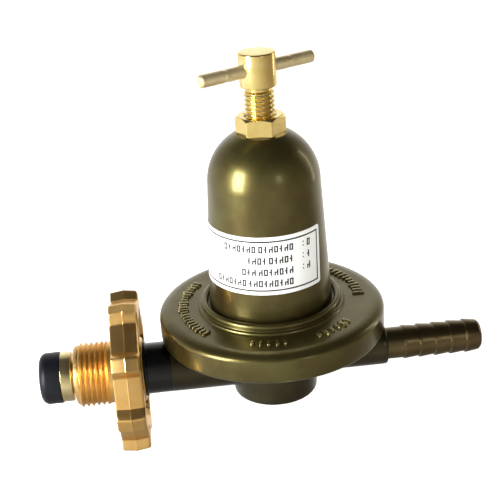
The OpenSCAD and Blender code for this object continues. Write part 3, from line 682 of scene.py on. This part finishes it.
# %% Cover: vent and finish
VENT_R = 1
vent = shifted(turned("vent_drill", rod(VENT_R, 10, 30), 32), z=DOME_FOOT - 4,
               turn=Matrix.Rotation(math.radians(-90), 4, "X"))
cut(cover, vent)
shifted(cover, x=BELL_X)
fitted(cover, "root", olive_lacquer, "cover_paint", "bonnet_cover", crease=28)

# %% [markdown]
# Raised marks stand on the flange in four groups. They are plain bars and say nothing: only the
# look of cast relief is wanted. Angles are counted from +X, so the front of the regulator is -90.

# %% Cover: raised marks
MARKS_R = 30.6
marks_parts = []
for name, first, final, number, seed in (
        ("left", -141, -216, 22, 3), ("front", -108, -88, 5, 8),
        ("front_right", -66, -42, 6, 5), ("right", -2, 38, 11, 12)):
    blank = solid("marks_" + name, [], [])
    run_tree(blank, mark_tree, relief_lacquer, {
        "Count": number, "Arc radius": MARKS_R * MM, "From": math.radians(first),
        "To": math.radians(final), "Height": (ROOF + 0.02) * MM, "Seed": seed})
    marks_parts.append(blank)


def joined(name, parts):
    """Joins parts into one new piece."""
    work = bmesh.new()
    for part in parts:
        work.from_mesh(part.data)
        bpy.data.objects.remove(part)
    mesh = bpy.data.meshes.new(name)
    work.to_mesh(mesh)
    work.free()
    piece = bpy.data.objects.new(name, mesh)
    bpy.context.scene.collection.objects.link(piece)
    return piece


marks_on_cover = shifted(joined("cast_marks", marks_parts), x=BELL_X)
fitted(marks_on_cover, "root", relief_lacquer, "cover_paint", crease=60)

# %% [markdown]
# ## The body casting
# The body is a boss, two arms and a web under a round flange, cast in one piece, so its inner
# corners are filleted. Fillets between crossing cylinders are hard to draw by hand. A voxel remesh
# melts the overlapping solids into one skin, and a smoothing pass rounds the corners like a die
# does. The machined holes come after it, so that they stay crisp.

# %% Body: rough shapes joined and smoothed
FLANGE_FOOT = LIP_FOOT + LIP_T
FLANGE_R = inner_rim_r - 0.05
BOSS_R = 15.05
INLET_ARM_R = 9.0
OUTLET_ARM_R = 7.15
VOXEL = 0.55
WEB_T = 8.0
boss_low = body_low.z
inlet_reach = BELL_X - INLET_FACE
outlet_reach = OUTLET_FACE - BELL_X
parts = [
    turned("flange", rounded([(0, FLANGE_FOOT, 0), (FLANGE_R, FLANGE_FOOT, 0.5),
                              (FLANGE_R, clamp_z - 1, 0.3), (0, clamp_z - 1, 0)])),
    turned("boss", rounded([(0, boss_low, 0), (BOSS_R - 0.25, boss_low, 0.6), (BOSS_R, 0, 0),
                            (BOSS_R, FLANGE_FOOT + 1, 0), (0, FLANGE_FOOT + 1, 0)])),
    along_x("inlet_arm", rounded([(0, 0, 0), (INLET_ARM_R, 0, 0.4), (INLET_ARM_R, inlet_reach, 0),
                                  (0, inlet_reach, 0)]), x=-inlet_reach),
    along_x("outlet_arm", rounded([(0, 0, 0), (OUTLET_ARM_R, 0, 0),
                                   (OUTLET_ARM_R, outlet_reach, 0.4), (0, outlet_reach, 0)])),
    block("web", FLANGE_R - 4.0, WEB_T / 2, 0, FLANGE_FOOT + 1)]
body = joined("body_casting_skin", parts)
melt = body.modifiers.new("melt", "REMESH")
melt.mode = "VOXEL"
melt.voxel_size = VOXEL * MM
soften = body.modifiers.new("soften", "SMOOTH")
soften.factor = 0.5
soften.iterations = 7
baked(body)
print("body skin faces", len(body.data.polygons))

# %% Body: machined holes
PLUG_SHOULDER = boss_low + 2.6
PLUG_THREAD_TOP = PLUG_SHOULDER + 3.9
SEAT_Z = 2.9
CHAMBER_FLOOR = 14.4
PASSAGE_R = 2.5
STEM_BORE_R = 6.25
SPIGOT_BORE_R = 4.95
hole_tools = [
    turned("valve_bore", [(0, boss_low - 5), (9.55, boss_low - 5), (9.55, PLUG_SHOULDER),
                          (7.45, PLUG_SHOULDER), (7.45, PLUG_THREAD_TOP), (6.5, PLUG_THREAD_TOP),
                          (6.5, SEAT_Z), (5.05, SEAT_Z), (5.05, 9.0), (8.0, 9.0),
                          (8.0, CHAMBER_FLOOR), (29.5, CHAMBER_FLOOR), (29.5, 25), (0, 25)]),
    along_x("inlet_bore", [(0, -5), (STEM_BORE_R, -5), (STEM_BORE_R, 14), (PASSAGE_R, 14),
                           (PASSAGE_R, 32), (0, 32)], 64, x=-inlet_reach),
    along_x("outlet_bore", [(0, 11), (PASSAGE_R, 11), (PASSAGE_R, outlet_reach - 13),
                            (SPIGOT_BORE_R, outlet_reach - 13),
                            (SPIGOT_BORE_R, outlet_reach + 5), (0, outlet_reach + 5)], 64),
    shifted(turned("riser", rod(PASSAGE_R, -1, 16), 48), x=11.0)]
for tool in hole_tools:
    cut(body, tool)
shifted(body, x=BELL_X)
# The body's darker lacquer is painted shade for the flange's shadow.
fitted(body, "root", body_lacquer_painted_shade, "body_paint", "body_casting", crease=30)

# %% [markdown]
# ## The adjuster: bush, screw and tee bar
# A brass bush with a hexagon is screwed into the dome, and the adjusting screw runs through it. The
# hexagon is a turned blank whose radius is held to six flats. The chamfer cone then meets the flats
# in the curved lines seen on every real nut.

# %% Hex bush
bush_low, bush_high = corners_of("bonnet_bush")
HEX_AF = 14.5
HEX_TURN = math.radians(-9)
hex_top = bush_high.z


def six_flats(r, h, a):
    """Holds a radius to the flats of the hexagon, above the bush's spigot."""
    if h < HEX_FOOT - 0.001 or r < 6.9:
        return r
    fold = (a - HEX_TURN + math.pi / 6) % (math.pi / 3) - math.pi / 6
    flat = HEX_AF / 2 / math.cos(math.pi / 6 - abs(fold))
    return min(r, flat, HEX_AF / 2 / math.cos(math.pi / 6) - 0.12)


cone = [(7.05 + 0.22 * k, hex_top - 0.13 * k) for k in range(8)]
bush_outline = ([(5.1, bush_low.z), (6.4, bush_low.z), (6.75, bush_low.z + 0.4), (6.75, HEX_FOOT),
                 (6.95, HEX_FOOT)] + [(7.6 + 0.2 * k, HEX_FOOT + 0.1 * k) for k in range(6)]
                + [(8.7, HEX_FOOT + 0.6)] + cone[::-1]
                + [(6.9, hex_top), (5.6, hex_top), (5.1, hex_top - 0.5)])
bush = shifted(turned("hex_bush", bush_outline, 288, shape=six_flats), x=BELL_X)
fitted(bush, "root", turned_brass, "yellow_brass", "bonnet_bush", crease=24)

# %% [markdown]
# The screw starts as a turned blank. The thread cutter takes its groove out, and a boolean drills
# the head for the tee bar. The bar slides in that hole and is kept by two pinches that a staking
# tool has left, one on each side of the head.

# %% Adjusting screw
screw_low, screw_high = corners_of("adjusting_screw")
bar_low, bar_high = corners_of("tee_bar")
SCREW_R = 5.0
HEAD_R = 6.0
HEAD_H = 11.1
SCREW_PITCH = 1.5
BAR_R = 2.1
BAR_TURN = math.radians(28.5)
head_foot = screw_high.z - HEAD_H
bar_z = (bar_low.z + bar_high.z) / 2
screw_outline = rounded([
    (0, screw_low.z, 0), (3.7, screw_low.z, 0.2), (SCREW_R, screw_low.z + 1.2, 0.1),
    (SCREW_R, head_foot - 1.8, 0.1), (SCREW_R - 0.9, head_foot - 1.2, 0.2),
    (SCREW_R - 0.9, head_foot, 0.2), (HEAD_R, head_foot, 0.45), (HEAD_R, screw_high.z, 0.55),
    (2.0, screw_high.z - 0.05, 0), (0, screw_high.z - 0.08, 0)])
screw_outline = divided(screw_outline, screw_low.z + 1.1, head_foot - 1.7, SCREW_PITCH / 12, 4.9)
screw = turned("adjusting_screw_turned", screw_outline, 96)
run_tree(screw, thread_tree, turned_brass, {
    "Pitch": SCREW_PITCH * MM, "Depth": 0.75 * MM, "Crest radius": SCREW_R * MM,
    "Start": (screw_low.z + 0.2) * MM, "End": (head_foot - 1.5) * MM, "Hand": 1})
across_head = shifted(turned("bar_drill", rod(BAR_R + 0.06, -9, 9), 48), z=bar_z,
                      turn=Matrix.Rotation(BAR_TURN, 4, "Z") @ LIE_ALONG_X)
cut(screw, across_head)
shifted(screw, x=BELL_X)
fitted(screw, "screw", turned_brass, "yellow_brass", "adjusting_screw", crease=30)

# %% Tee bar
BAR_HALF = 21.7
STAKE = 12.3


def pinched(r, h, a):
    """Flattens the bar at its two staking marks and lets the metal bulge sideways."""
    press = math.exp(-((abs(h) - STAKE) / 0.55) ** 2)
    return r + press * (0.23 * math.sin(a) ** 2 - 0.2 * math.cos(a) ** 4) * (r / BAR_R)


bar_outline = rounded([
    (0, -BAR_HALF, 0), (BAR_R - 0.55, -BAR_HALF, 0.15), (BAR_R, -BAR_HALF + 0.6, 0.3),
    (BAR_R, BAR_HALF - 0.6, 0.3), (BAR_R - 0.55, BAR_HALF, 0.15), (0, BAR_HALF, 0)])
bar_outline = divided(bar_outline, -14, 14, 0.2, BAR_R - 0.01)
tee_bar = turned("tee_bar_rod", divided(bar_outline, -BAR_HALF, BAR_HALF, 0.35, BAR_R - 0.01), 64,
                 shape=pinched)
shifted(tee_bar, turn=LIE_ALONG_X)
shifted(tee_bar, x=BELL_X, z=bar_z, turn=Matrix.Rotation(BAR_TURN, 4, "Z"))
fitted(tee_bar, "bar", bar_brass, "yellow_brass", "tee_bar", crease=40)

# %% [markdown]
# ## The inlet: handwheel, nipple, nose and sleeve
# The handwheel is forged in two dies, so its rim is widest at the parting line and slopes both
# ways. The blank has that slope, a dished back and a plain boss in front. The two trees then cut
# the left-hand thread in the boss and shape the lobes.

# %% Handwheel
wheel_low, wheel_high = corners_of("handwheel")
THREAD_R = 11.24
THREAD_PITCH = 1.814
THREAD_HALF = 3 * THREAD_PITCH
WHEEL_R = 28.5
WHEEL_T = 9.8
VALLEY_R = 24.5
LOBE_R = 28.4
HUB_R = 14.0
WHEEL_TURN = 11.0
BORE_R = 6.26
wheel_front = wheel_high.x - WHEEL_T
wheel_back = wheel_high.x
parting = (wheel_front + wheel_back) / 2
wheel_outline = rounded([
    (BORE_R, wheel_low.x, 0.3), (9.9, wheel_low.x, 0.2), (THREAD_R, wheel_low.x + 1.2, 0.1),
    (THREAD_R, THREAD_HALF - 0.3, 0.1), (THREAD_R - 0.5, THREAD_HALF + 0.3, 0.1),
    (THREAD_R - 0.4, wheel_front, 0.9), (HUB_R, wheel_front, 0), (26.9, wheel_front + 0.05, 0),
    (WHEEL_R - 0.75, wheel_front + 0.1, 1.2), (WHEEL_R - 0.18, parting - 0.3, 0.1),
    (WHEEL_R - 0.04, parting, 0.1), (WHEEL_R - 0.18, parting + 0.3, 0.1),
    (WHEEL_R - 0.75, wheel_back, 1.2), (22.0, wheel_back, 0.8), (18.6, wheel_back - 4.3, 1.2),
    (HUB_R, wheel_back - 4.5, 0), (13.0, wheel_back - 4.5, 0.8), (11.0, wheel_back, 0.5),
    (BORE_R, wheel_back, 0.3)])
wheel_outline = divided(wheel_outline, wheel_low.x + 0.9, THREAD_HALF + 0.4, THREAD_PITCH / 14,
                        10.5)
wheel = turned("handwheel_forging", wheel_outline, 320)
run_tree(wheel, thread_tree, forged_brass, {
    "Pitch": THREAD_PITCH * MM, "Depth": 0.95 * MM, "Crest radius": THREAD_R * MM,
    "Start": (wheel_low.x - 0.3) * MM, "End": (THREAD_HALF + 0.2) * MM, "Hand": -1})
run_tree(wheel, lobe_tree, forged_brass, {
    "Lobes": 8, "Rim radius": WHEEL_R * MM, "Valley radius": VALLEY_R * MM,
    "Lobe radius": LOBE_R * MM,
    "Valley edge": math.radians(13), "Lobe edge": math.radians(17.5),
    "Turn": math.radians(WHEEL_TURN), "Hub radius": HUB_R * MM})
shifted(wheel, turn=LIE_ALONG_X)
fitted(wheel, "handwheel", forged_brass, "forged_brass", "handwheel", crease=34)

# %% Nipple, nose and sleeve
nipple_low, nipple_high = corners_of("inlet_nipple")
nose_low, nose_high = corners_of("nose_seal")
sleeve_low, sleeve_high = corners_of("thrust_sleeve")
STEM_R = 6.2
TIP_R = 5.4
NIPPLE_HEAD_R = 8.7
head_back = wheel_low.x - 1.0
head_front = nose_high.x
nipple = along_x("inlet_nipple_turned", rounded([
    (PASSAGE_R, nipple_low.x, 0.2), (TIP_R, nipple_low.x, 0.1), (6.0, nipple_low.x + 1, 0.1),
    (TIP_R, nipple_low.x + 2, 0.1), (TIP_R, head_front, 0.1), (NIPPLE_HEAD_R, head_front, 0.35),
    (NIPPLE_HEAD_R, head_back, 0.45), (STEM_R, head_back, 0.2), (STEM_R, nipple_high.x, 0.5),
    (PASSAGE_R, nipple_high.x, 0.2)]))
fitted(nipple, "root", pale_brass, "pale_brass", "inlet_nipple")

NOSE_R = 9.0
NOSE_ROUND = 2.6
nose_outline = [(2.9, nose_low.x + 0.25), (3.15, nose_low.x)]
nose_outline += arc(NOSE_R - NOSE_ROUND, nose_low.x + NOSE_ROUND, NOSE_ROUND, NOSE_ROUND,
                    -90, 0, 14)
nose_outline += rounded([(NOSE_R, nose_low.x + NOSE_ROUND + 1, 0), (NOSE_R, nose_high.x, 0.35),
                         (5.5, nose_high.x, 0)])
nose_outline += [(5.45, nipple_low.x + 2), (6.05, nipple_low.x + 1), (5.45, nipple_low.x - 0.02),
                 (2.9, nipple_low.x - 0.02)]
nose = along_x("soft_nose", nose_outline, 96)
fitted(nose, "root", nose_rubber, "nose_rubber", "nose_seal", crease=45)

SLEEVE_RIM_R = 9.8
sleeve = along_x("thrust_sleeve_moulded", rounded([
    (STEM_BORE_R, sleeve_low.x, 0.2), (SLEEVE_RIM_R, sleeve_low.x, 0.35),
    (SLEEVE_RIM_R, sleeve_low.x + 1.0, 0.35), (9.0, sleeve_low.x + 1.05, 0.3),
    (8.95, sleeve_high.x, 0.25), (STEM_BORE_R, sleeve_high.x, 0.1)]))
fitted(sleeve, "root", sleeve_plastic, "black_sleeve", "thrust_sleeve")

# %% [markdown]
# ## The hose nozzle
# The barbs let a hose slide on and then grip it: each one rises steeply on the body's side and
# slopes gently towards the tip. They repeat at one pitch, so a short loop writes their outline.

# %% Hose nozzle
nozzle_low, nozzle_high = corners_of("hose_nozzle")
BARB_R = 6.0
BARB_ROOT_R = 5.5
BARB_PITCH = 5.6
SHANK_R = 5.6
SHANK_L = 6.2
HOSE_BORE_R = 3.2
barbs = []
for i in range(5):
    start = OUTLET_FACE + SHANK_L + i * BARB_PITCH
    barbs += [(BARB_R, start, 0.12), (BARB_R, start + 0.6, 0.3),
              (BARB_ROOT_R, start + BARB_PITCH - 0.25, 0.12)]
barbs[-1] = (BARB_ROOT_R - 0.1, nozzle_high.x - 0.9, 0.5)
nozzle = along_x("hose_nozzle_turned", rounded(
    [(HOSE_BORE_R, nozzle_low.x, 0.2), (4.9, nozzle_low.x, 0.3), (4.9, OUTLET_FACE, 0.05),
     (SHANK_R, OUTLET_FACE, 0.15), (SHANK_R, OUTLET_FACE + SHANK_L, 0.1)] + barbs
    + [(BARB_ROOT_R - 0.9, nozzle_high.x, 0.3), (3.5, nozzle_high.x, 0.2),
       (HOSE_BORE_R, nozzle_high.x - 0.5, 0.1)], 4), 96)
fitted(nozzle, "root", bronzed_brass, "bronzed_brass", "hose_nozzle", crease=30)

# %% [markdown]
# ## The rating label
# The label is a thin film with rounded corners, a dark frame line and rows of print. The print is
# made of three plain groups of strokes, which look like text from a distance and say nothing. Film
# and print are drawn flat, x along the arc and z up, and the wrap tree bends them round the bell.

# %% Flat label shapes
PANEL_ROWS = 5
PANEL_RING = 2 * PANEL_ROWS


def panel(name, left, right, low, high, inner, outer, corner=0.0, step=1.2):
    """A thin flat plate in the XZ plane with rounded corners, in columns for bending."""
    width = right - left
    count = max(2, math.ceil(width / step))
    columns = [left + width * k / count for k in range(count + 1)]
    if corner:
        ease = [corner * (1 - math.cos(math.pi / 2 * k / 5)) for k in range(6)]
        middle = [c for c in columns if left + corner < c < right - corner]
        columns = [left + e for e in ease] + middle + [right - e for e in ease[::-1]]
    points, rings = [], []
    for c in columns:
        near = min(c - left, right - c)
        drop = 0
        if near < corner:
            drop = corner - math.sqrt(max(0, corner ** 2 - (corner - near) ** 2))
        start = len(points)
        heights = np.linspace(low + drop, high - drop, PANEL_ROWS)
        points += [(c, inner, h) for h in heights] + [(c, outer, h) for h in heights[::-1]]
        rings.append(list(range(start, start + PANEL_RING)))
    faces = []
    for a, b in zip(rings, rings[1:]):
        for k in range(PANEL_RING):
            after = (k + 1) % PANEL_RING
            faces.append([a[k], a[after], b[after], b[k]])
    for ring in (rings[0], rings[-1]):
        faces += [[ring[k], ring[k + 1], ring[-2 - k], ring[-1 - k]] for k in range(PANEL_ROWS - 1)]
    return solid(name, points, faces)


label_low, label_high = corners_of("rating_label")
LABEL_FOOT = label_low.z
LABEL_TOP = label_high.z
LABEL_ARC = math.radians(151)
LABEL_RIGHT = math.radians(-39)
LABEL_MIDDLE = (LABEL_FOOT + LABEL_TOP) / 2
FILM_T = 0.2
INK_T = 0.03
mean_r = BELL_FOOT_R + (BELL_NECK_R - BELL_FOOT_R) * (LABEL_MIDDLE - BELL_FOOT) / BELL_H
label_width = mean_r * LABEL_ARC
wrap_sizes = {"Foot radius": BELL_FOOT_R * MM, "Taper": (BELL_NECK_R - BELL_FOOT_R) / BELL_H,
              "Foot height": BELL_FOOT * MM, "Right edge": LABEL_RIGHT, "Lean": 0.09,
              "Middle": LABEL_MIDDLE * MM, "Stand off": 0.02 * MM}
film = panel("label_film_sheet", -label_width, 0, LABEL_FOOT, LABEL_TOP, 0, FILM_T, corner=1.0)
shifted(run_tree(film, wrap_tree, label_film, wrap_sizes), x=BELL_X)
fitted(film, "root", label_film, "label_film", "rating_label", crease=50)

# %% Printed frame and rows
print_parts = []
EDGE = 1.3
LINE = 0.5
ink = (FILM_T, FILM_T + INK_T)
for low_z, high_z in ((LABEL_FOOT + EDGE, LABEL_FOOT + EDGE + LINE),
                      (LABEL_TOP - EDGE - LINE, LABEL_TOP - EDGE)):
    print_parts.append(panel("frame_line", -label_width + EDGE, -EDGE, low_z, high_z, *ink))
for left in (-label_width + EDGE, -EDGE - LINE):
    print_parts.append(panel("frame_side", left, left + LINE, LABEL_FOOT + EDGE + LINE,
                             LABEL_TOP - EDGE - LINE, *ink))
ROW_H = 2.3
ROW_PITCH = 3.95
FIRST_ROW = 3.0
LETTER = 1.3
LETTER_PITCH = 1.68
DOT = 0.4
DOT_AT = 8.0
strokes_of = [[(0, 0.36, 0, 1), (0.64, 1, 0, 1), (0.36, 0.64, 0, 0.2), (0.36, 0.64, 0.8, 1)],
              [(0.3, 0.68, 0, 1), (0.68, 1, 0.42, 0.6)],
              [(0, 0.36, 0, 1), (0.64, 1, 0, 0.6), (0.36, 0.64, 0.4, 0.6)]]
rows_of_words = [[(5.0, 1), (11.6, 7), (23.9, 7)], [(5.0, 1), (11.6, 5), (20.4, 4)],
                 [(5.0, 1), (11.6, 7), (23.9, 3)], [(11.6, 9), (27.2, 7)]]
for row, words in enumerate(rows_of_words):
    foot = LABEL_TOP - FIRST_ROW - ROW_H - row * ROW_PITCH
    for start, letters in words:
        for k in range(letters):
            x0 = -start - k * LETTER_PITCH
            for left, right_end, low_end, high_end in strokes_of[(2 * k + row) % 3]:
                print_parts.append(panel("stroke", x0 - LETTER * right_end, x0 - LETTER * left,
                                         foot + ROW_H * low_end, foot + ROW_H * high_end, *ink))
    for dot in (0.15, 0.7) if row < 3 else ():
        print_parts.append(panel("dot", -DOT_AT, DOT - DOT_AT, foot + ROW_H * dot,
                                 foot + ROW_H * dot + DOT, *ink))
label_print = joined("label_print_bars", print_parts)
shifted(run_tree(label_print, wrap_tree, label_ink, wrap_sizes), x=BELL_X)
fitted(label_print, "root", label_ink, "label_film", crease=50)

# %% [markdown]
# ## Inside and underneath
# The springs are wound by the wire tree. The plug that closes the valve chamber shows from below,
# with its slot. Every other inner piece keeps its CAD shape, which is right as it is, and only gets
# its finish.

# %% Springs
def wound_spring(node, turns, mean_r, wire_r):
    """Winds a spring between the ends of its CAD node."""
    low, high = (corner.z for corner in corners_of(node))
    spring = solid(node + "_wound", [], [])
    run_tree(spring, coil_tree, spring_steel, {
        "Turns": turns, "Mean radius": mean_r * MM, "Wire radius": wire_r * MM, "Foot": low * MM,
        "Top": high * MM})
    shifted(spring, x=BELL_X)
    fitted(spring, "root", spring_steel, "spring_steel", node, crease=60)
    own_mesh(spring)


wound_spring("main_spring", 8, 11, 1.4)
wound_spring("poppet_spring", 4, 2.7, 0.3)

# %% Bottom plug
plug_low, plug_high = corners_of("bottom_plug")
PLUG_HEAD_R = 9.5
PLUG_R = 7.4
GUIDE_R = 1.66
head_top = plug_low.z + 1.6
plug = turned("bottom_plug_turned", rounded([
    (0, plug_low.z, 0), (PLUG_HEAD_R, plug_low.z, 0.3), (PLUG_HEAD_R, head_top, 0.1),
    (PLUG_R, head_top, 0.1), (PLUG_R, plug_high.z, 0.3), (3.6, plug_high.z, 0),
    (3.6, plug_high.z - 1, 0), (GUIDE_R, plug_high.z - 1, 0), (GUIDE_R, plug_high.z - 4, 0),
    (0, plug_high.z - 4, 0)]))
slot_mill = block("slot_mill", 12, 1.0, plug_low.z - 2, plug_low.z + 0.8)
cut(plug, slot_mill)
shifted(plug, x=BELL_X)
fitted(plug, "root", turned_brass, "yellow_brass", "bottom_plug")

# %% Finishes for the pieces that keep their CAD shape
kept_nodes = {
    "thrust_ball": ground_steel, "spring_button": zinc_plate, "diaphragm_plate": zinc_plate,
    "diaphragm": black_rubber, "diaphragm_washer": zinc_plate, "diaphragm_rivet": turned_brass,
    "push_pin": ground_steel, "valve_seat": turned_brass, "valve_poppet": turned_brass,
    "poppet_seal": black_rubber, "plug_gasket": red_fibre, "inlet_filter": pale_brass}
for node, finish in kept_nodes.items():
    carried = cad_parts[node]
    if not carried.material_slots:
        carried.data.materials.append(finish)
    for holder in carried.material_slots:
        holder.material = finish
print("CAD shapes kept:", len(kept_nodes))

# %% [markdown]
# ## Studio: floor, light and camera
# The floor is a plain white sheet under the lowest point. A tall soft light on the left makes the
# long highlight on the bell, a small one adds a weak second highlight, a narrow one lights the
# right edge, and a wide one fills the label. Polished metal mostly shows what is round it, so the
# air is bright below the horizon and dark above, with a pale wall behind that lights the level
# faces. The floor and the wide light are left out of reflections for the same reason.

# %% Floor
FLOOR_GAP = 0.1
FLOOR_HALF = 4000
floor_z = cad_box[0][2] / MM - FLOOR_GAP
floor = solid("studio_floor", [(x * FLOOR_HALF, y * FLOOR_HALF, floor_z) for x, y in
                               ((-1, -1), (1, -1), (1, 1), (-1, 1))], [(0, 1, 2, 3)])
paper = surface("studio_paper_white", "fbfbfa", "f8f8f7", 300.0, 0.8, 20.0, 0.01,
                Emission_Color=(1, 1, 1, 1), Emission_Strength=0.8)
floor.data.materials.append(paper)
floor.visible_glossy = False

# %% World
world = bpy.data.worlds.new("studio_air")
bpy.context.scene.world = world
world.use_nodes = True
sky = world.node_tree
looked = add_node(sky, "ShaderNodeTexCoord").outputs["Generated"]
direction = add_node(sky, "ShaderNodeSeparateXYZ", [looked])
height = add_node(sky, "ShaderNodeMapRange", [direction.outputs[2], -1.0, 1.0, 0.0, 1.0])
ramp = add_node(sky, "ShaderNodeValToRGB", [height])
ramp.color_ramp.elements[0].color = (0.30, 0.30, 0.30, 1)
ramp.color_ramp.elements[1].color = (0.06, 0.06, 0.06, 1)
for place, grey in ((0.2, 0.50), (0.3, 0.70), (0.45, 0.66), (0.5, 0.55), (0.63, 0.42), (0.73, 0.28),
                    (0.85, 0.08)):
    ramp.color_ramp.elements.new(place).color = (grey, grey, grey, 1)
LEFT_TINT = (1.9, 1.9, 1.85, 1)
RIGHT_TINT = (0.55, 0.48, 0.40, 1)
RIGHT_AND_BACK = (0.5, 0.87, 0.0)
HIGH_AT_THE_BACK = (0.0, 0.91, 0.41)
to_right = add_node(sky, "ShaderNodeMapRange", [direction.outputs[0], -1.0, 1.0, 0.0, 1.0])
sides = add_node(sky, "ShaderNodeMix", {0: to_right, 6: LEFT_TINT, 7: RIGHT_TINT},
                 data_type="RGBA").outputs[2]
behind, toward_wall = (add_node(sky, "ShaderNodeVectorMath", [looked, way],
                                operation="DOT_PRODUCT").outputs[1]
                       for way in (RIGHT_AND_BACK, HIGH_AT_THE_BACK))
back_glow = add_node(sky, "ShaderNodeMapRange", [behind, 0.6, 1.0, 0.0, 0.9])
shares = add_node(sky, "ShaderNodeVectorMath", [sides, back_glow], operation="ADD")
open_air = add_node(sky, "ShaderNodeVectorMath", [ramp, shares], operation="MULTIPLY")
back_wall = add_node(sky, "ShaderNodeMapRange", [toward_wall, 0.80, 0.97, 0.0, 0.55])
air = add_node(sky, "ShaderNodeVectorMath", [ramp, shares], operation="MULTIPLY")
toward_wall = add_node(sky, "ShaderNodeVectorMath", {
    0: add_node(sky, "ShaderNodeTexCoord").outputs["Generated"], 1: (0.0, 0.91, 0.41)},
    operation="DOT_PRODUCT").outputs[1]
back_wall = add_node(sky, "ShaderNodeMapRange", [toward_wall, 0.80, 0.97, 0.0, 0.55])
air = add_node(sky, "ShaderNodeVectorMath", [open_air, back_wall], operation="ADD")
seen = add_node(sky, "ShaderNodeLightPath").outputs["Is Camera Ray"]
backdrop = add_node(sky, "ShaderNodeMix", {0: seen, 6: air, 7: (1, 1, 1, 1)}, data_type="RGBA")
sky.links.new(backdrop.outputs[2], sky.nodes["Background"].inputs["Color"])
sky.nodes["Background"].inputs["Strength"].default_value = 1.0
print("air:", len(sky.nodes), "nodes")


# %% Lights
def soft_light(name, azimuth, elevation, distance, width, height, power, mirrored=True):
    """A rectangular soft light that faces the middle of the object, in mm and watts."""
    a, e = math.radians(azimuth), math.radians(elevation)
    aim = Vector((BELL_X - 10, 0, 35))
    place = aim + distance * Vector((math.sin(a) * math.cos(e), -math.cos(a) * math.cos(e),
                                     math.sin(e)))
    lamp = bpy.data.lights.new(name, "AREA")
    lamp.shape = "RECTANGLE"
    lamp.size, lamp.size_y = width * MM, height * MM
    lamp.energy = power
    holder = bpy.data.objects.new(name, lamp)
    holder.location = place * MM
    holder.rotation_euler = (place - aim).to_track_quat("Z", "Y").to_euler()
    holder.visible_glossy = mirrored
    bpy.context.scene.collection.objects.link(holder)


soft_light("key_left", -58, 14, 600, 240, 380, 5.5)
soft_light("weak_front_right", 27, 20, 600, 90, 130, 0.12)
soft_light("edge_right", 110, 10, 650, 60, 500, 0.35)
soft_light("label_fill", -15, 35, 800, 600, 600, 1.6, mirrored=False)

# %% Camera
LENS = 75.3
SENSOR_W = 36
AZIMUTH = math.radians(-4.23)
ELEVATION = math.radians(24.5)
ROLL = math.radians(3.81)
DEPTH = 374.8
AIM_RIGHT = 8.3
AIM_UP = -37.1
forward = Vector((-math.sin(AZIMUTH) * math.cos(ELEVATION),
                  math.cos(AZIMUTH) * math.cos(ELEVATION), -math.sin(ELEVATION)))
level_right = Vector((math.cos(AZIMUTH), math.sin(AZIMUTH), 0))
level_up = level_right.cross(forward)
right = level_right * math.cos(ROLL) - level_up * math.sin(ROLL)
up = level_right * math.sin(ROLL) + level_up * math.cos(ROLL)
crossing = Vector((BELL_X, 0, 0))
eye = crossing - right * AIM_RIGHT - up * AIM_UP - forward * DEPTH
camera = bpy.data.objects.new("camera", bpy.data.cameras.new("camera"))
camera.data.lens = LENS
camera.data.sensor_width = SENSOR_W
camera.data.clip_start = 0.01
facing = Matrix((right, up, -forward)).transposed().to_4x4()
camera.matrix_world = Matrix.Translation(eye * MM) @ facing
bpy.context.scene.collection.objects.link(camera)
bpy.context.scene.camera = camera
bpy.context.scene.view_settings.view_transform = "Standard"
print("camera at", [round(v, 1) for v in eye])
